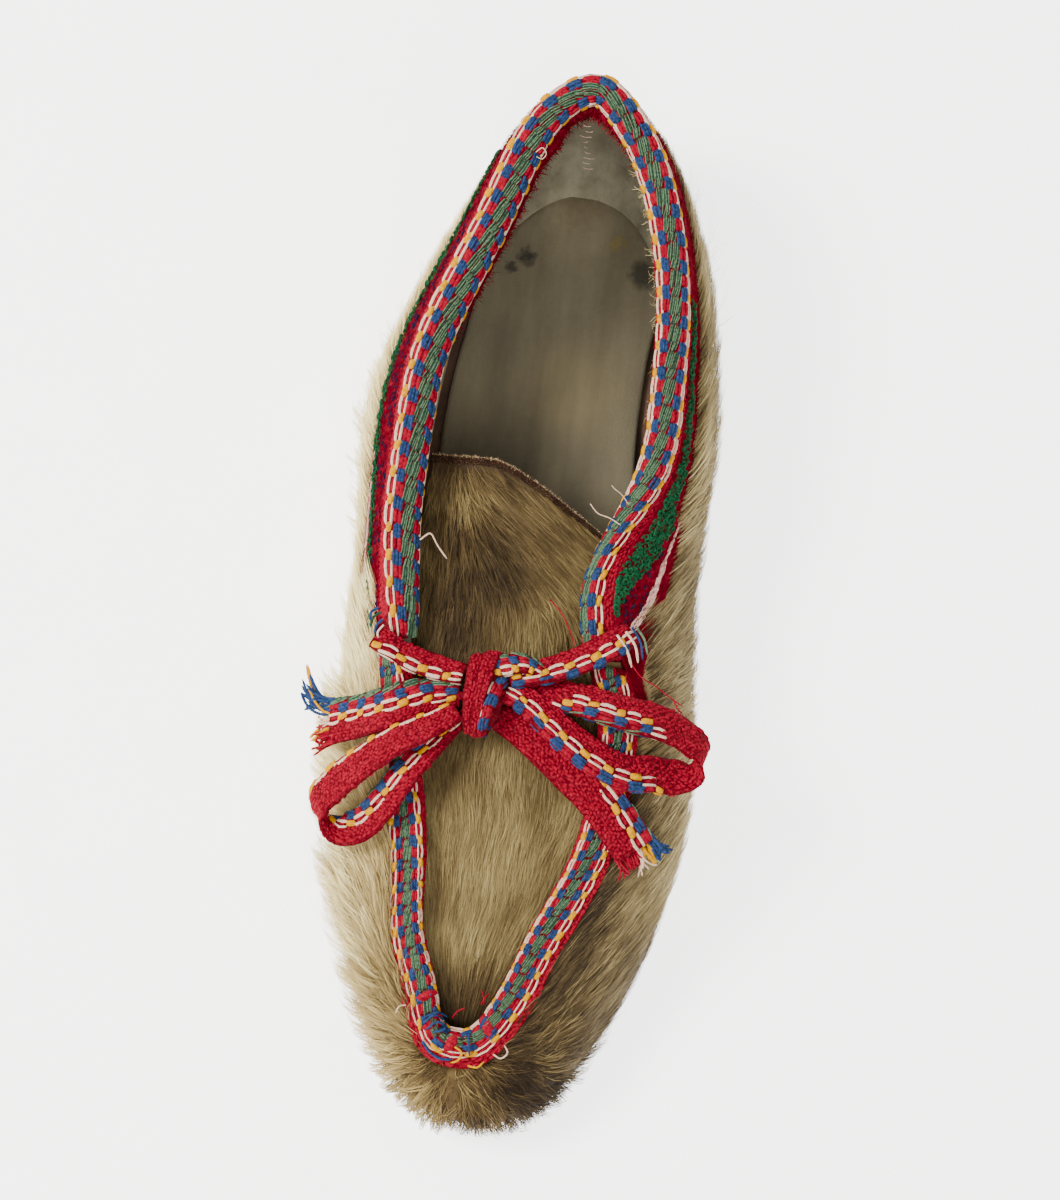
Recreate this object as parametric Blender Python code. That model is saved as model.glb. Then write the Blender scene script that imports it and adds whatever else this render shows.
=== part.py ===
"""Low fur slipper for the left foot.

Leather sole and insole, one hollow fur wall, a fur tongue, a felt cuff, woven bands along
the collar and the throat, and a ribbon bow.

Frame: the toe points to -Y, the heel to +Y, the outer side of the foot to +X, up is +Z.
The origin is on the floor under the middle of the shoe's box, the ribbon bow left out. Sizes
are in millimetres in a frame that starts MIDDLE away from that origin, and each mesh is moved
and turned into metres when it is made.
"""

import math

import bpy
import numpy as np

MM = 0.001
MIDDLE = (-0.8, -1.8, 0.0)  # middle of the shoe's box in the frame of the tables

# Driving sizes of the shoe
GAP = 0.3                   # left between two pieces that touch
BAND_GAP = 0.4              # between a band and the curved edge it is folded over
SOLE_THICK = 3.2
SOLE_MARGIN = 1.2           # how far the sole stands out past the skin
SOLE_BEVEL = 0.8
INSOLE_THICK = 2.0
SKIN_THICK = 2.8            # fur skin with its lining
FELT_THICK = 1.8
BAND_THICK = 1.4
RIBBON_THICK = 2.0          # a woven band folded once along its length

# Sole line: flat under the ball and the heel, lifted at toe, arch and heel end
TOE_SPRING = 4.5
TOE_SPRING_FROM = -92.0
TOE_END = -129.0
TOE_CURVE = 1.8
ARCH_RISE = 2.0
ARCH_FROM = -18.0
ARCH_TO = 56.0
ARCH_OUTER_X = 14.0         # the arch is least high from here outwards
ARCH_WIDE = 44.0            # and highest this far in
ARCH_LEAST = 0.3
HEEL_LIFT = 0.8
HEEL_LIFT_FROM = 102.0
HEEL_END = 114.5

# Fur relief: each lock is LOCK_COLUMNS long and LOCK_ROWS high on the wall's grid
COLUMNS = 120
FUR_ROWS = 8
LOCK_COLUMNS = 4
LOCK_ROWS = 2
LOCK_RELIEF = 1.3
LOCK_LOW_ROW = 0.35         # relief of a lock's upper row as a share of its lower row
LOCK_MEAN = 0.4
HEM_FLARE = 1.4
FUR_STEP = 0.4              # the fur's first row stands this far below the trim
FUR_AT_TRIM = 0.42          # share of the fur's depth beside the trim
FUR_FULL_AT = 0.6           # share of the wall's height where the fur is at its full depth

# One row for each section round the shoe, from the toe over the outer side to the heel and
# back over the inner side. sole_x, sole_y: where the skin meets the sole. edge_x, edge_y,
# edge_z: the skin's upper edge at collar or throat. bulge: how far the wall swells out above
# the sole. shoulder, drop: how the wall leaves its upper edge, outwards and downwards. trim:
# how far the trim reaches down the wall from the edge. leg: the band's reach over the
# outside. edge_wall: thickness at the edge. fur: depth of the fur.
SECTIONS = [
    # sole_x sole_y edge_x edge_y edge_z bulge shoulder drop trim leg edge_wall fur
    (0.5, -127.5, -4.0, -110.5, 26.6, 5.0, 7.0, 0.5, 7.8, 7.4, 2.8, 3.4),
    (10.5, -125.3, 0.2, -109.0, 27.0, 5.0, 8.0, 0.5, 7.8, 7.4, 2.8, 3.4),
    (18.5, -119.0, 4.0, -103.6, 28.8, 4.5, 8.5, 0.3, 7.8, 7.4, 2.8, 3.6),
    (24.6, -110.0, 7.2, -97.0, 30.8, 4.5, 9.5, 0.0, 7.8, 7.4, 2.8, 3.8),
    (30.2, -98.0, 10.4, -88.0, 33.6, 5.5, 10.0, -0.5, 7.8, 7.4, 2.8, 4.2),
    (34.8, -84.0, 15.2, -77.0, 36.8, 7.5, 11.0, -0.5, 7.8, 7.4, 2.8, 4.4),
    (37.4, -68.0, 20.2, -64.0, 40.0, 9.0, 12.0, 0.5, 7.8, 7.4, 2.8, 4.6),
    (38.0, -50.0, 23.0, -47.0, 43.5, 11.0, 12.0, 2.0, 7.8, 7.4, 2.8, 4.8),
    (36.6, -32.0, 22.4, -30.0, 45.8, 13.0, 11.0, 2.5, 7.8, 7.2, 3.2, 5.0),
    (34.6, -16.0, 18.2, -17.0, 47.0, 14.0, 12.0, 2.0, 13.0, 6.0, 4.0, 5.0),
    (32.2, 0.0, 15.4, -2.0, 48.0, 16.0, 12.0, 1.5, 21.0, 5.0, 4.6, 5.2),
    (29.6, 16.0, 19.3, 12.5, 48.3, 19.0, 10.8, 3.0, 21.5, 4.8, 4.4, 5.4),
    (27.4, 32.0, 27.2, 29.6, 48.5, 21.0, 5.8, 7.0, 20.0, 4.8, 4.2, 5.6),
    (26.2, 50.0, 29.0, 50.0, 49.3, 21.0, 4.4, 10.0, 18.0, 4.8, 4.2, 5.4),
    (26.6, 70.0, 28.2, 71.1, 50.5, 16.0, 4.0, 12.0, 17.0, 4.8, 4.2, 4.8),
    (26.0, 87.0, 23.7, 94.1, 53.5, 12.0, 3.4, 14.0, 17.0, 4.8, 4.2, 3.6),
    (20.4, 100.5, 16.6, 110.8, 55.8, 12.0, 3.5, 15.0, 17.0, 4.8, 4.2, 3.0),
    (12.0, 109.6, 8.9, 120.7, 57.4, 14.0, 3.0, 16.0, 17.0, 4.8, 4.2, 2.8),
    (0.8, 113.0, 1.2, 124.6, 58.0, 16.0, 3.0, 16.0, 17.0, 4.8, 4.0, 2.6),
    (-10.0, 109.2, -9.1, 118.4, 57.2, 14.0, 3.0, 16.0, 17.0, 4.8, 4.2, 2.8),
    (-19.0, 99.8, -16.0, 107.0, 55.6, 10.0, 3.5, 15.0, 17.0, 4.8, 4.8, 3.2),
    (-26.4, 86.0, -21.2, 91.0, 53.7, 9.0, 3.8, 14.0, 17.0, 4.8, 5.0, 4.2),
    (-30.8, 69.0, -28.0, 72.3, 51.3, 12.0, 3.4, 12.0, 17.0, 4.8, 5.0, 5.6),
    (-32.6, 50.0, -33.8, 52.4, 49.8, 18.0, 2.6, 11.0, 17.0, 4.8, 5.0, 6.6),
    (-33.0, 32.0, -35.1, 33.1, 48.9, 20.0, 2.0, 11.0, 17.0, 4.8, 5.0, 6.8),
    (-34.0, 12.0, -35.0, 12.0, 48.5, 16.0, 2.2, 11.0, 17.0, 4.8, 5.0, 5.8),
    (-35.4, -6.0, -32.6, -6.1, 48.3, 13.0, 4.2, 9.0, 16.0, 4.8, 4.8, 5.0),
    (-36.6, -22.0, -29.3, -20.0, 47.2, 11.0, 6.0, 5.0, 12.0, 5.6, 4.0, 4.8),
    (-36.9, -40.0, -25.2, -38.0, 45.0, 10.0, 9.0, 1.0, 7.8, 7.2, 3.0, 4.6),
    (-35.8, -58.0, -20.8, -56.0, 42.3, 9.0, 10.0, -0.5, 7.8, 7.4, 2.8, 4.5),
    (-33.0, -76.0, -18.3, -73.0, 38.8, 7.5, 10.0, -0.5, 7.8, 7.4, 2.8, 4.3),
    (-28.6, -92.0, -17.0, -87.0, 34.8, 5.5, 8.5, -0.5, 7.8, 7.4, 2.8, 4.0),
    (-23.8, -105.0, -13.4, -97.0, 31.6, 5.0, 7.5, 0.0, 7.8, 7.4, 2.8, 3.8),
    (-17.6, -115.5, -11.0, -104.5, 29.0, 5.0, 7.0, 0.3, 7.8, 7.4, 2.8, 3.6),
    (-9.0, -123.5, -8.6, -109.2, 27.2, 5.0, 7.0, 0.5, 7.8, 7.4, 2.8, 3.4),
]
LINE_STEPS = 64             # points along each wall line from edge to sole
LOW_SHARE = 0.45            # height of the lower bulge as a share of the wall's height
INNER_SHARES = (1.0, 0.8, 0.6, 0.4)     # rows of the lining, as shares of the way down
EDGE_WALL_TO = 0.25         # the wall keeps its edge thickness down to this share
SKIN_FROM = 0.6             # and is down to the skin's own thickness from this share

# The cuff and the collar band run over the heel between these sections of the table. The
# throat band runs over the toe between the same two corners.
LACE_CORNER_OUTER = 8.9
LACE_CORNER_INNER = 26.9
COLLAR_INNER_LEG = 4.0
THROAT_INNER_LEG = 2.6

# One row for each section of the tongue, from its tip under the throat band to its top.
# inner_x, outer_x: its two edges. edge_z: height of the edges. crown: how far the middle
# swells over them. thick: skin and fur.
TONGUE = [
    # y inner_x outer_x edge_z crown thick
    (-109.0, -6.5, -1.0, 19.0, 0.5, 1.8),
    (-100.0, -12.0, 5.0, 22.5, 2.0, 2.2),
    (-88.0, -17.5, 10.5, 27.0, 4.0, 2.6),
    (-74.0, -20.5, 16.5, 31.5, 5.5, 3.0),
    (-58.0, -22.5, 21.5, 35.5, 6.5, 3.2),
    (-38.0, -26.0, 22.5, 38.5, 7.0, 3.2),
    (-18.0, -28.0, 20.0, 39.5, 7.0, 3.2),
    (4.0, -28.5, 19.0, 38.5, 7.0, 3.0),
    (31.0, -28.5, 22.0, 36.5, 7.0, 2.2),
]
TONGUE_TIP = -109.0
TONGUE_TOP = 31.0
TONGUE_ALONG = 25
TONGUE_ACROSS = 13
TONGUE_CORNER = -11.0       # the top edge is square to the shoe up to here and slants after it
TONGUE_SLANT = 0.58
TONGUE_SLANT_FROM = -12.0
TONGUE_ROUND = 4.0          # how softly the slant starts at the corner
TONGUE_POWER = 1.7          # a higher power keeps the sides lower beside the crown

# Points across and sections along each flat sheet
SOLE_ACROSS, SOLE_ALONG = 5, 34
INSOLE_ACROSS, INSOLE_ALONG = 4, 30
INSOLE_BEVEL = 0.4
TOP_BEVEL = 0.6             # a sheet's top bevel as a share of its bottom bevel

# Crest of a folded band, as shares of its thickness
CREST_SIDE = 0.8
CREST_TOP = 1.15

# Ribbon routes, one row for each point along the middle of the ribbon. x, y, z: the point.
# across_x, across_y, across_z: the way from the ribbon's rear edge to its front edge. wide:
# its width there.
BAR_MEDIAL = [
    # x y z across_x across_y across_z wide
    (-35.0, -19.5, 50.6, 0.4, -0.9, 0.2, 6.0),
    (-31.5, -21.2, 51.3, 0.4, -0.9, 0.3, 6.6),
    (-27.0, -23.2, 50.7, 0.3, -0.9, 0.3, 7.0),
    (-21.5, -24.6, 50.0, 0.2, -0.9, 0.3, 7.0),
    (-17.3, -25.4, 50.2, 0.2, -0.9, 0.4, 6.6),
    (-12.6, -26.2, 51.2, 0.2, -0.9, 0.4, 5.6),
]
BAR_LATERAL = [
    # x y z across_x across_y across_z wide
    (-2.0, -26.0, 53.0, 0.3, -0.9, 0.3, 5.4),
    (3.0, -24.6, 52.6, 0.3, -0.9, 0.4, 6.4),
    (8.4, -22.4, 52.0, 0.4, -0.9, 0.4, 7.2),
    (13.4, -20.1, 51.8, 0.5, -0.9, 0.4, 7.5),
    (18.2, -17.2, 51.7, 0.6, -0.8, 0.3, 7.5),
    (22.2, -14.2, 51.2, 0.6, -0.8, 0.2, 7.0),
    (26.0, -11.0, 49.2, 0.6, -0.8, 0.1, 6.2),
]
TAIL_MEDIAL = [
    # x y z across_x across_y across_z wide
    (-13.2, -31.2, 49.2, -0.1, -1.0, 0.0, 5.6),
    (-16.7, -31.6, 49.0, -0.1, -1.0, 0.0, 7.0),
    (-20.7, -32.3, 49.0, -0.2, -1.0, 0.0, 9.0),
    (-24.9, -34.0, 49.2, -0.3, -1.0, 0.0, 10.5),
    (-28.8, -35.6, 48.8, -0.2, -1.0, 0.0, 11.0),
    (-33.1, -37.0, 46.2, -0.1, -1.0, 0.0, 11.2),
    (-37.3, -38.0, 42.2, -0.1, -1.0, 0.0, 11.4),
    (-41.3, -38.7, 39.0, -0.1, -1.0, 0.0, 11.5),
    (-43.8, -39.2, 37.2, -0.1, -1.0, 0.0, 11.5),
]
LOOP_MEDIAL = [
    # x y z across_x across_y across_z wide
    (-13.2, -35.9, 53.6, 0.5, -0.7, 0.3, 5.6),
    (-15.8, -37.8, 54.0, 0.5, -0.7, 0.4, 6.6),
    (-19.5, -40.3, 54.2, 0.5, -0.7, 0.5, 7.6),
    (-24.1, -42.8, 53.4, 0.5, -0.7, 0.5, 8.2),
    (-30.6, -47.0, 50.6, 0.5, -0.7, 0.5, 8.8),
    (-36.3, -51.4, 46.6, 0.5, -0.7, 0.5, 9.4),
    (-41.1, -55.5, 42.2, 0.5, -0.7, 0.5, 10.0),
    (-43.9, -59.3, 39.2, 0.5, -0.7, 0.6, 10.0),
    (-42.9, -62.6, 37.8, 0.5, -0.7, 0.6, 9.6),
    (-39.0, -65.0, 38.0, 0.5, -0.7, 0.6, 9.6),
    (-34.1, -64.2, 40.2, 0.5, -0.7, 0.5, 9.8),
    (-28.8, -59.0, 44.4, 0.5, -0.7, 0.4, 9.4),
    (-24.4, -52.2, 48.2, 0.5, -0.7, 0.4, 8.6),
    (-20.8, -47.2, 49.4, 0.5, -0.7, 0.4, 7.4),
    (-17.4, -42.8, 49.4, 0.5, -0.7, 0.3, 6.4),
    (-14.8, -39.4, 49.6, 0.6, -0.7, 0.2, 5.6),
    (-12.6, -37.0, 49.8, 0.6, -0.7, 0.2, 5.0),
]
LOOP_LATERAL = [
    # x y z across_x across_y across_z wide
    (-1.6, -29.4, 51.4, -0.1, -0.9, 0.2, 5.0),
    (2.4, -28.8, 51.2, -0.1, -0.9, 0.3, 6.0),
    (7.8, -28.3, 51.0, -0.1, -0.9, 0.4, 7.4),
    (13.9, -28.6, 51.2, -0.2, -0.9, 0.4, 8.8),
    (21.1, -30.0, 51.7, -0.2, -0.8, 0.5, 10.2),
    (28.5, -31.0, 50.2, -0.2, -0.8, 0.5, 10.5),
    (35.3, -31.6, 47.8, -0.2, -0.8, 0.5, 10.5),
    (41.7, -33.4, 44.8, -0.2, -0.8, 0.6, 10.5),
    (46.0, -36.6, 42.4, -0.2, -0.8, 0.6, 10.5),
    (45.3, -40.6, 41.4, -0.2, -0.8, 0.6, 10.5),
    (40.8, -43.2, 42.6, -0.2, -0.8, 0.5, 10.5),
    (34.4, -43.8, 45.6, -0.2, -0.8, 0.5, 10.2),
    (28.3, -43.4, 48.8, -0.2, -0.8, 0.5, 10.0),
    (21.9, -40.8, 50.8, -0.3, -0.8, 0.4, 9.6),
    (15.5, -37.6, 50.2, -0.3, -0.8, 0.4, 8.6),
    (9.0, -34.8, 49.6, -0.3, -0.8, 0.3, 7.6),
    (3.4, -33.2, 49.6, -0.3, -0.9, 0.2, 6.0),
    (-1.8, -33.2, 49.8, -0.3, -0.9, 0.1, 4.6),
]
TAIL_LATERAL = [
    # x y z across_x across_y across_z wide
    (-3.4, -37.6, 48.4, -0.5, -0.9, 0.0, 5.0),
    (2.3, -39.2, 48.0, -0.5, -0.9, 0.0, 7.2),
    (7.4, -41.0, 47.6, -0.5, -0.9, 0.0, 9.6),
    (12.4, -43.7, 46.9, -0.6, -0.8, 0.0, 10.6),
    (16.6, -46.4, 46.6, -0.6, -0.8, 0.0, 11.0),
    (20.8, -49.6, 46.6, -0.7, -0.7, 0.0, 11.0),
    (25.2, -53.6, 45.8, -0.7, -0.7, 0.0, 11.0),
    (29.1, -57.7, 43.8, -0.7, -0.7, 0.0, 11.0),
    (33.2, -62.2, 41.6, -0.7, -0.7, 0.0, 11.0),
]
BAR_STEPS = 9
TAIL_STEPS = 11
LOOP_STEPS = 28
RIBBON_SIDES = 8
RIBBON_POWER = 0.7          # below 1 the ribbon's section is flatter than an ellipse

# Knot of the bow: a rounded block with the wrap swelling round its middle
KNOT_MIDDLE = (-7.4, -30.6, 52.0)
KNOT_HALF_WIDE = 4.9
KNOT_HALF_LONG = 9.6
KNOT_HALF_HIGH = 4.7
KNOT_TURN = -4.0            # degrees about the vertical
KNOT_SECTIONS = 11
KNOT_SIDES = 14
KNOT_POWER = 0.8


# Sole line and splines

def sole_rise(x, y):
    """Height of the sole's underside over the floor."""
    toe = np.clip((TOE_SPRING_FROM - y) / (TOE_SPRING_FROM - TOE_END), 0.0, None)
    along = np.clip((y - ARCH_FROM) / (ARCH_TO - ARCH_FROM), 0.0, 1.0)
    inner = np.clip((ARCH_OUTER_X - x) / ARCH_WIDE, 0.0, 1.0)
    arch = np.sin(math.pi * along) ** 2 * (ARCH_LEAST + (1.0 - ARCH_LEAST) * inner)
    heel = np.clip((y - HEEL_LIFT_FROM) / (HEEL_END - HEEL_LIFT_FROM), 0.0, None)
    return TOE_SPRING * toe ** TOE_CURVE + ARCH_RISE * arch + HEEL_LIFT * heel ** 2


def closed_spline(knots, period, values, at):
    """Smooth closed curve through values, a cubic spline that repeats after one period."""
    count = len(knots)
    steps = np.diff(np.append(knots, knots[0] + period))
    matrix = np.zeros((count, count))
    right = np.zeros((count, values.shape[1]))
    slopes = (np.roll(values, -1, axis=0) - values) / steps[:, None]
    for i in range(count):
        matrix[i, i - 1] += steps[i - 1]
        matrix[i, i] += 2.0 * (steps[i - 1] + steps[i])
        matrix[i, (i + 1) % count] += steps[i]
        right[i] = 6.0 * (slopes[i] - slopes[i - 1])
    bend = np.linalg.solve(matrix, right)
    place = np.mod(at - knots[0], period) + knots[0]
    cell = np.searchsorted(knots, place, side="right") - 1
    after = (cell + 1) % count
    step = steps[cell][:, None]
    far = (place - knots[cell])[:, None]
    near = step - far
    return ((bend[cell] * near ** 3 + bend[after] * far ** 3) / (6.0 * step)
            + (values[cell] / step - bend[cell] * step / 6.0) * near
            + (values[after] / step - bend[after] * step / 6.0) * far)


def open_curve(rows, steps):
    """Rows evenly spaced along a smooth curve through the rows of a table."""
    rows = np.array(rows)
    length = np.linalg.norm(np.diff(rows[:, 0:3], axis=0), axis=1)
    knots = np.concatenate(([0.0], np.cumsum(length)))
    slopes = np.gradient(rows, knots, axis=0)
    at = np.linspace(0.0, knots[-1], steps)
    cell = np.clip(np.searchsorted(knots, at, side="right") - 1, 0, len(rows) - 2)
    step = (knots[cell + 1] - knots[cell])[:, None]
    t = (at - knots[cell])[:, None] / step
    return (rows[cell] * (1.0 + 2.0 * t) * (1.0 - t) ** 2
            + slopes[cell] * step * t * (1.0 - t) ** 2
            + rows[cell + 1] * t ** 2 * (3.0 - 2.0 * t)
            + slopes[cell + 1] * step * t ** 2 * (t - 1.0))


def unit(vectors):
    return vectors / np.linalg.norm(vectors, axis=-1, keepdims=True)


# The wall: one line from the edge down to the sole for each column round the shoe

class Wall:
    """The skin's outer face, with its normals and the distance down from the edge."""

    def __init__(self):
        table = np.array(SECTIONS)
        sole_steps = np.linalg.norm(np.roll(table[:, 0:2], -1, axis=0) - table[:, 0:2], axis=1)
        edge_steps = np.linalg.norm(np.roll(table[:, 2:5], -1, axis=0) - table[:, 2:5], axis=1)
        steps = 0.5 * (sole_steps + edge_steps)
        self.knots = np.concatenate(([0.0], np.cumsum(steps)[:-1]))
        self.period = steps.sum()
        at = np.arange(COLUMNS) * self.period / COLUMNS
        rows = closed_spline(self.knots, self.period, table, at)
        sole_xy = rows[:, 0:2]
        edge = rows[:, 2:5]
        bulge, shoulder, drop, self.trim, self.leg, self.edge_wall, self.fur = rows[:, 5:].T
        along = unit(np.roll(sole_xy, -1, axis=0) - np.roll(sole_xy, 1, axis=0))
        self.out = np.column_stack((along[:, 1], -along[:, 0], np.zeros(COLUMNS)))
        foot_z = sole_rise(sole_xy[:, 0], sole_xy[:, 1]) + SOLE_THICK + GAP
        foot = np.column_stack((sole_xy, foot_z))
        rise = LOW_SHARE * (edge[:, 2] - foot_z)
        up = np.array([0.0, 0.0, 1.0])
        low = foot + self.out * bulge[:, None] + up * rise[:, None]
        high = edge + self.out * shoulder[:, None] - up * drop[:, None]
        t = np.linspace(0.0, 1.0, LINE_STEPS)[None, :, None]
        self.points = (edge[:, None] * (1 - t) ** 3 + 3 * high[:, None] * t * (1 - t) ** 2
                       + 3 * low[:, None] * t ** 2 * (1 - t) + foot[:, None] * t ** 3)
        down = np.gradient(self.points, axis=1)
        around = np.roll(self.points, -1, axis=0) - np.roll(self.points, 1, axis=0)
        self.normals = unit(np.cross(down, around))
        step = np.linalg.norm(np.diff(self.points, axis=1), axis=2)
        self.down = np.concatenate((np.zeros((COLUMNS, 1)), np.cumsum(step, axis=1)), axis=1)
        self.length = self.down[:, -1]
        self.up = unit(self.points[:, 0] - self.points[:, 1])

    def at(self, distance):
        """Points and normals of the skin at one distance down from the edge per column."""
        points = np.empty((COLUMNS, 3))
        normals = np.empty((COLUMNS, 3))
        for column in range(COLUMNS):
            for axis in range(3):
                points[column, axis] = np.interp(
                    distance[column], self.down[column], self.points[column, :, axis])
                normals[column, axis] = np.interp(
                    distance[column], self.down[column], self.normals[column, :, axis])
        return points, unit(normals)

    def column(self, section):
        """The column nearest a place in the table of sections, such as 8.5."""
        whole = int(section)
        ends = np.append(self.knots, self.period)
        place = ends[whole] + (section - whole) * (ends[whole + 1] - ends[whole])
        return int(round(place / self.period * COLUMNS)) % COLUMNS


# Mesh making

def volume(points, faces):
    total = 0.0
    for face in faces:
        for i in range(1, len(face) - 1):
            a, b, c = points[face[0]], points[face[i]], points[face[i + 1]]
            total += np.dot(a, np.cross(b, c))
    return total


def add_object(name, points, faces, material, smooth_angle=40.0):
    """One closed mesh object, with its faces turned to point out."""
    if volume(points, faces) < 0.0:
        faces = [face[::-1] for face in faces]
    mesh = bpy.data.meshes.new(name)
    mesh.from_pydata([tuple((p - MIDDLE) * MM) for p in points], [], faces)
    mesh.materials.append(material)
    mesh.shade_smooth()
    mesh.set_sharp_from_angle(angle=math.radians(smooth_angle))
    thing = bpy.data.objects.new(name, mesh)
    bpy.context.scene.collection.objects.link(thing)
    return thing


def loft(sections, closed):
    """Points and faces of a tube through sections, each the same loop of points."""
    count, size = sections.shape[:2]
    points = sections.reshape(-1, 3)
    faces = []
    for i in range(count if closed else count - 1):
        here = i * size
        there = ((i + 1) % count) * size
        for j in range(size):
            k = (j + 1) % size
            faces.append((here + j, here + k, there + k, there + j))
    if not closed:
        faces.append(tuple(range(size))[::-1])
        faces.append(tuple(range((count - 1) * size, count * size)))
    return points, faces


def material(name, colour, roughness, metallic=0.0):
    made = bpy.data.materials.new(name)
    made.use_nodes = True
    shader = made.node_tree.nodes["Principled BSDF"]
    shader.inputs["Base Color"].default_value = (*colour, 1.0)
    shader.inputs["Roughness"].default_value = roughness
    shader.inputs["Metallic"].default_value = metallic
    return made


# Upper

def lock_height(columns, row, flow):
    """Relief of the fur locks: each rises from root to tip along the nap and then steps down."""
    band = row // LOCK_ROWS
    shift = (LOCK_COLUMNS // 2) * (band % 2)
    run = np.mod(flow * columns + shift, LOCK_COLUMNS)
    ramp = run / (LOCK_COLUMNS - 1)
    crown = 1.0 if row % LOCK_ROWS == 1 else LOCK_LOW_ROW
    return ramp * crown


def nap_flow(wall):
    """The nap runs from heel to toe, so against the columns on the outer side."""
    return np.where(wall.points[:, -1, 0] > 0.0, -1, 1)


def rest_on_sole(points):
    """Set points a gap above the top of the sole."""
    points[:, 2] = sole_rise(points[:, 0], points[:, 1]) + SOLE_THICK + GAP


def make_upper(wall, look):
    columns = np.arange(COLUMNS)
    flow = nap_flow(wall)
    fur_from = wall.trim + GAP + FUR_STEP
    rows = []
    for share in (0.0, 1.0):
        rows.append(wall.at(wall.leg * share)[0])
    for share in (1 / 3, 2 / 3, 1.0):
        rows.append(wall.at(wall.leg + (wall.trim - wall.leg) * share)[0])
    for row in range(FUR_ROWS + 1):
        share = row / FUR_ROWS
        distance = fur_from + (wall.length - fur_from) * share
        points, normals = wall.at(distance)
        full = math.sin(0.5 * math.pi * min(1.0, share / FUR_FULL_AT))
        swell = FUR_AT_TRIM + (1.0 - FUR_AT_TRIM) * full
        depth = wall.fur * swell + LOCK_RELIEF * (lock_height(columns, row, flow) - LOCK_MEAN)
        if row == FUR_ROWS:
            depth = wall.fur + HEM_FLARE * (lock_height(columns, row - 1, flow) - LOCK_MEAN)
            normals = wall.out
        rows.append(points + normals * depth[:, None])
    rest_on_sole(rows[-1])
    inner = []
    distances = [wall.length * share for share in INNER_SHARES]
    for distance in distances + [wall.leg, np.zeros(COLUMNS)]:
        points, normals = wall.at(distance)
        thin = np.interp(distance / wall.length, (EDGE_WALL_TO, SKIN_FROM), (0.0, 1.0))
        thick = wall.edge_wall + (SKIN_THICK - wall.edge_wall) * thin
        if not inner:
            normals = wall.out
        inner.append(points - normals * thick[:, None])
    rest_on_sole(inner[0])
    sections = np.stack(rows + inner, axis=1)
    add_object("upper", *loft(sections, True), look)


# Sole and insole

def outline_at(wall, y, offset):
    """Inner and outer x of the sole's outline at y, offset outwards."""
    loop = (wall.points[:, -1] + wall.out * offset)[:, 0:2]
    toe = int(np.argmin(loop[:, 1]))
    loop = np.roll(loop, -toe, axis=0)
    heel = int(np.argmax(loop[:, 1]))
    outer = loop[:heel + 1]
    inner = np.vstack((loop[heel:], loop[:1]))[::-1]
    return np.interp(y, inner[:, 1], inner[:, 0]), np.interp(y, outer[:, 1], outer[:, 0])


def sole_sections(wall, offset, bottom, thick, bevel, across, along):
    """Closed sections of a flat sheet that follows the sole line, from toe to heel."""
    loop = (wall.points[:, -1] + wall.out * offset)[:, 0:2]
    turn = np.linspace(0.0, math.pi, along + 2)[1:-1]
    low, high = loop[:, 1].min(), loop[:, 1].max()
    sections = []
    for y in low + (high - low) * 0.5 * (1.0 - np.cos(turn)):
        inner, outer = outline_at(wall, y, offset)
        middle, half = 0.5 * (inner + outer), 0.5 * (outer - inner)
        cut = min(bevel, half * 0.3)
        reach = np.linspace(-1.0, 1.0, across)
        under = middle + reach * (half - cut)
        top = middle + reach[::-1] * (half - cut * TOP_BEVEL)
        xs = np.concatenate((under, [middle + half], [middle + half], top,
                             [middle - half], [middle - half]))
        shoulder = thick - cut * TOP_BEVEL
        rise = np.concatenate((np.zeros(across), [cut, shoulder],
                               np.full(across, thick), [shoulder, cut]))
        zs = sole_rise(xs, y) + bottom + rise
        sections.append(np.column_stack((xs, np.full(len(xs), y), zs)))
    return np.array(sections)


def make_sole(wall, look):
    sections = sole_sections(wall, SOLE_MARGIN, 0.0, SOLE_THICK, SOLE_BEVEL,
                             SOLE_ACROSS, SOLE_ALONG)
    add_object("outsole", *loft(sections, False), look)


def make_insole(wall, look):
    inset = -(SKIN_THICK + 2.0 * GAP)
    sections = sole_sections(wall, inset, SOLE_THICK + GAP, INSOLE_THICK, INSOLE_BEVEL,
                             INSOLE_ACROSS, INSOLE_ALONG)
    add_object("insole", *loft(sections, False), look)


# Tongue

def make_tongue(look):
    """A fur sheet under the throat: its edges run beneath the bands and its middle swells."""
    table = np.array(TONGUE)
    share = np.linspace(0.0, 1.0, TONGUE_ALONG)
    ys = TONGUE_TIP + (TONGUE_TOP - TONGUE_TIP) * share
    reach = np.linspace(-1.0, 1.0, TONGUE_ACROSS)
    sections = []
    for i, y in enumerate(ys):
        inner, outer, edge_z, crown, thick = (
            np.interp(y, table[:, 0], table[:, k]) for k in range(1, 6))
        xs = 0.5 * (inner + outer) + reach * 0.5 * (outer - inner)
        slant = np.clip((y - TONGUE_SLANT_FROM) / (TONGUE_TOP - TONGUE_SLANT_FROM), 0.0, 1.0)
        past = xs - TONGUE_CORNER
        back = TONGUE_SLANT * 0.5 * (past + np.sqrt(past ** 2 + TONGUE_ROUND ** 2))
        line_y = y - slant * back
        swell = np.clip(1.0 - reach ** 2, 0.0, 1.0) ** TONGUE_POWER
        lock = np.array([lock_height(TONGUE_ALONG - i, j, 1) for j in range(TONGUE_ACROSS)])
        top = edge_z + crown * swell + LOCK_RELIEF * lock * np.minimum(1.0, 3.0 * swell)
        under = edge_z + crown * swell - thick
        upper_row = np.column_stack((xs, line_y, top))
        lower_row = np.column_stack((xs, line_y, under))[::-1]
        sections.append(np.vstack((upper_row, lower_row)))
    add_object("tongue", *loft(np.array(sections), False), look)


# Trim on the wall

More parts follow.
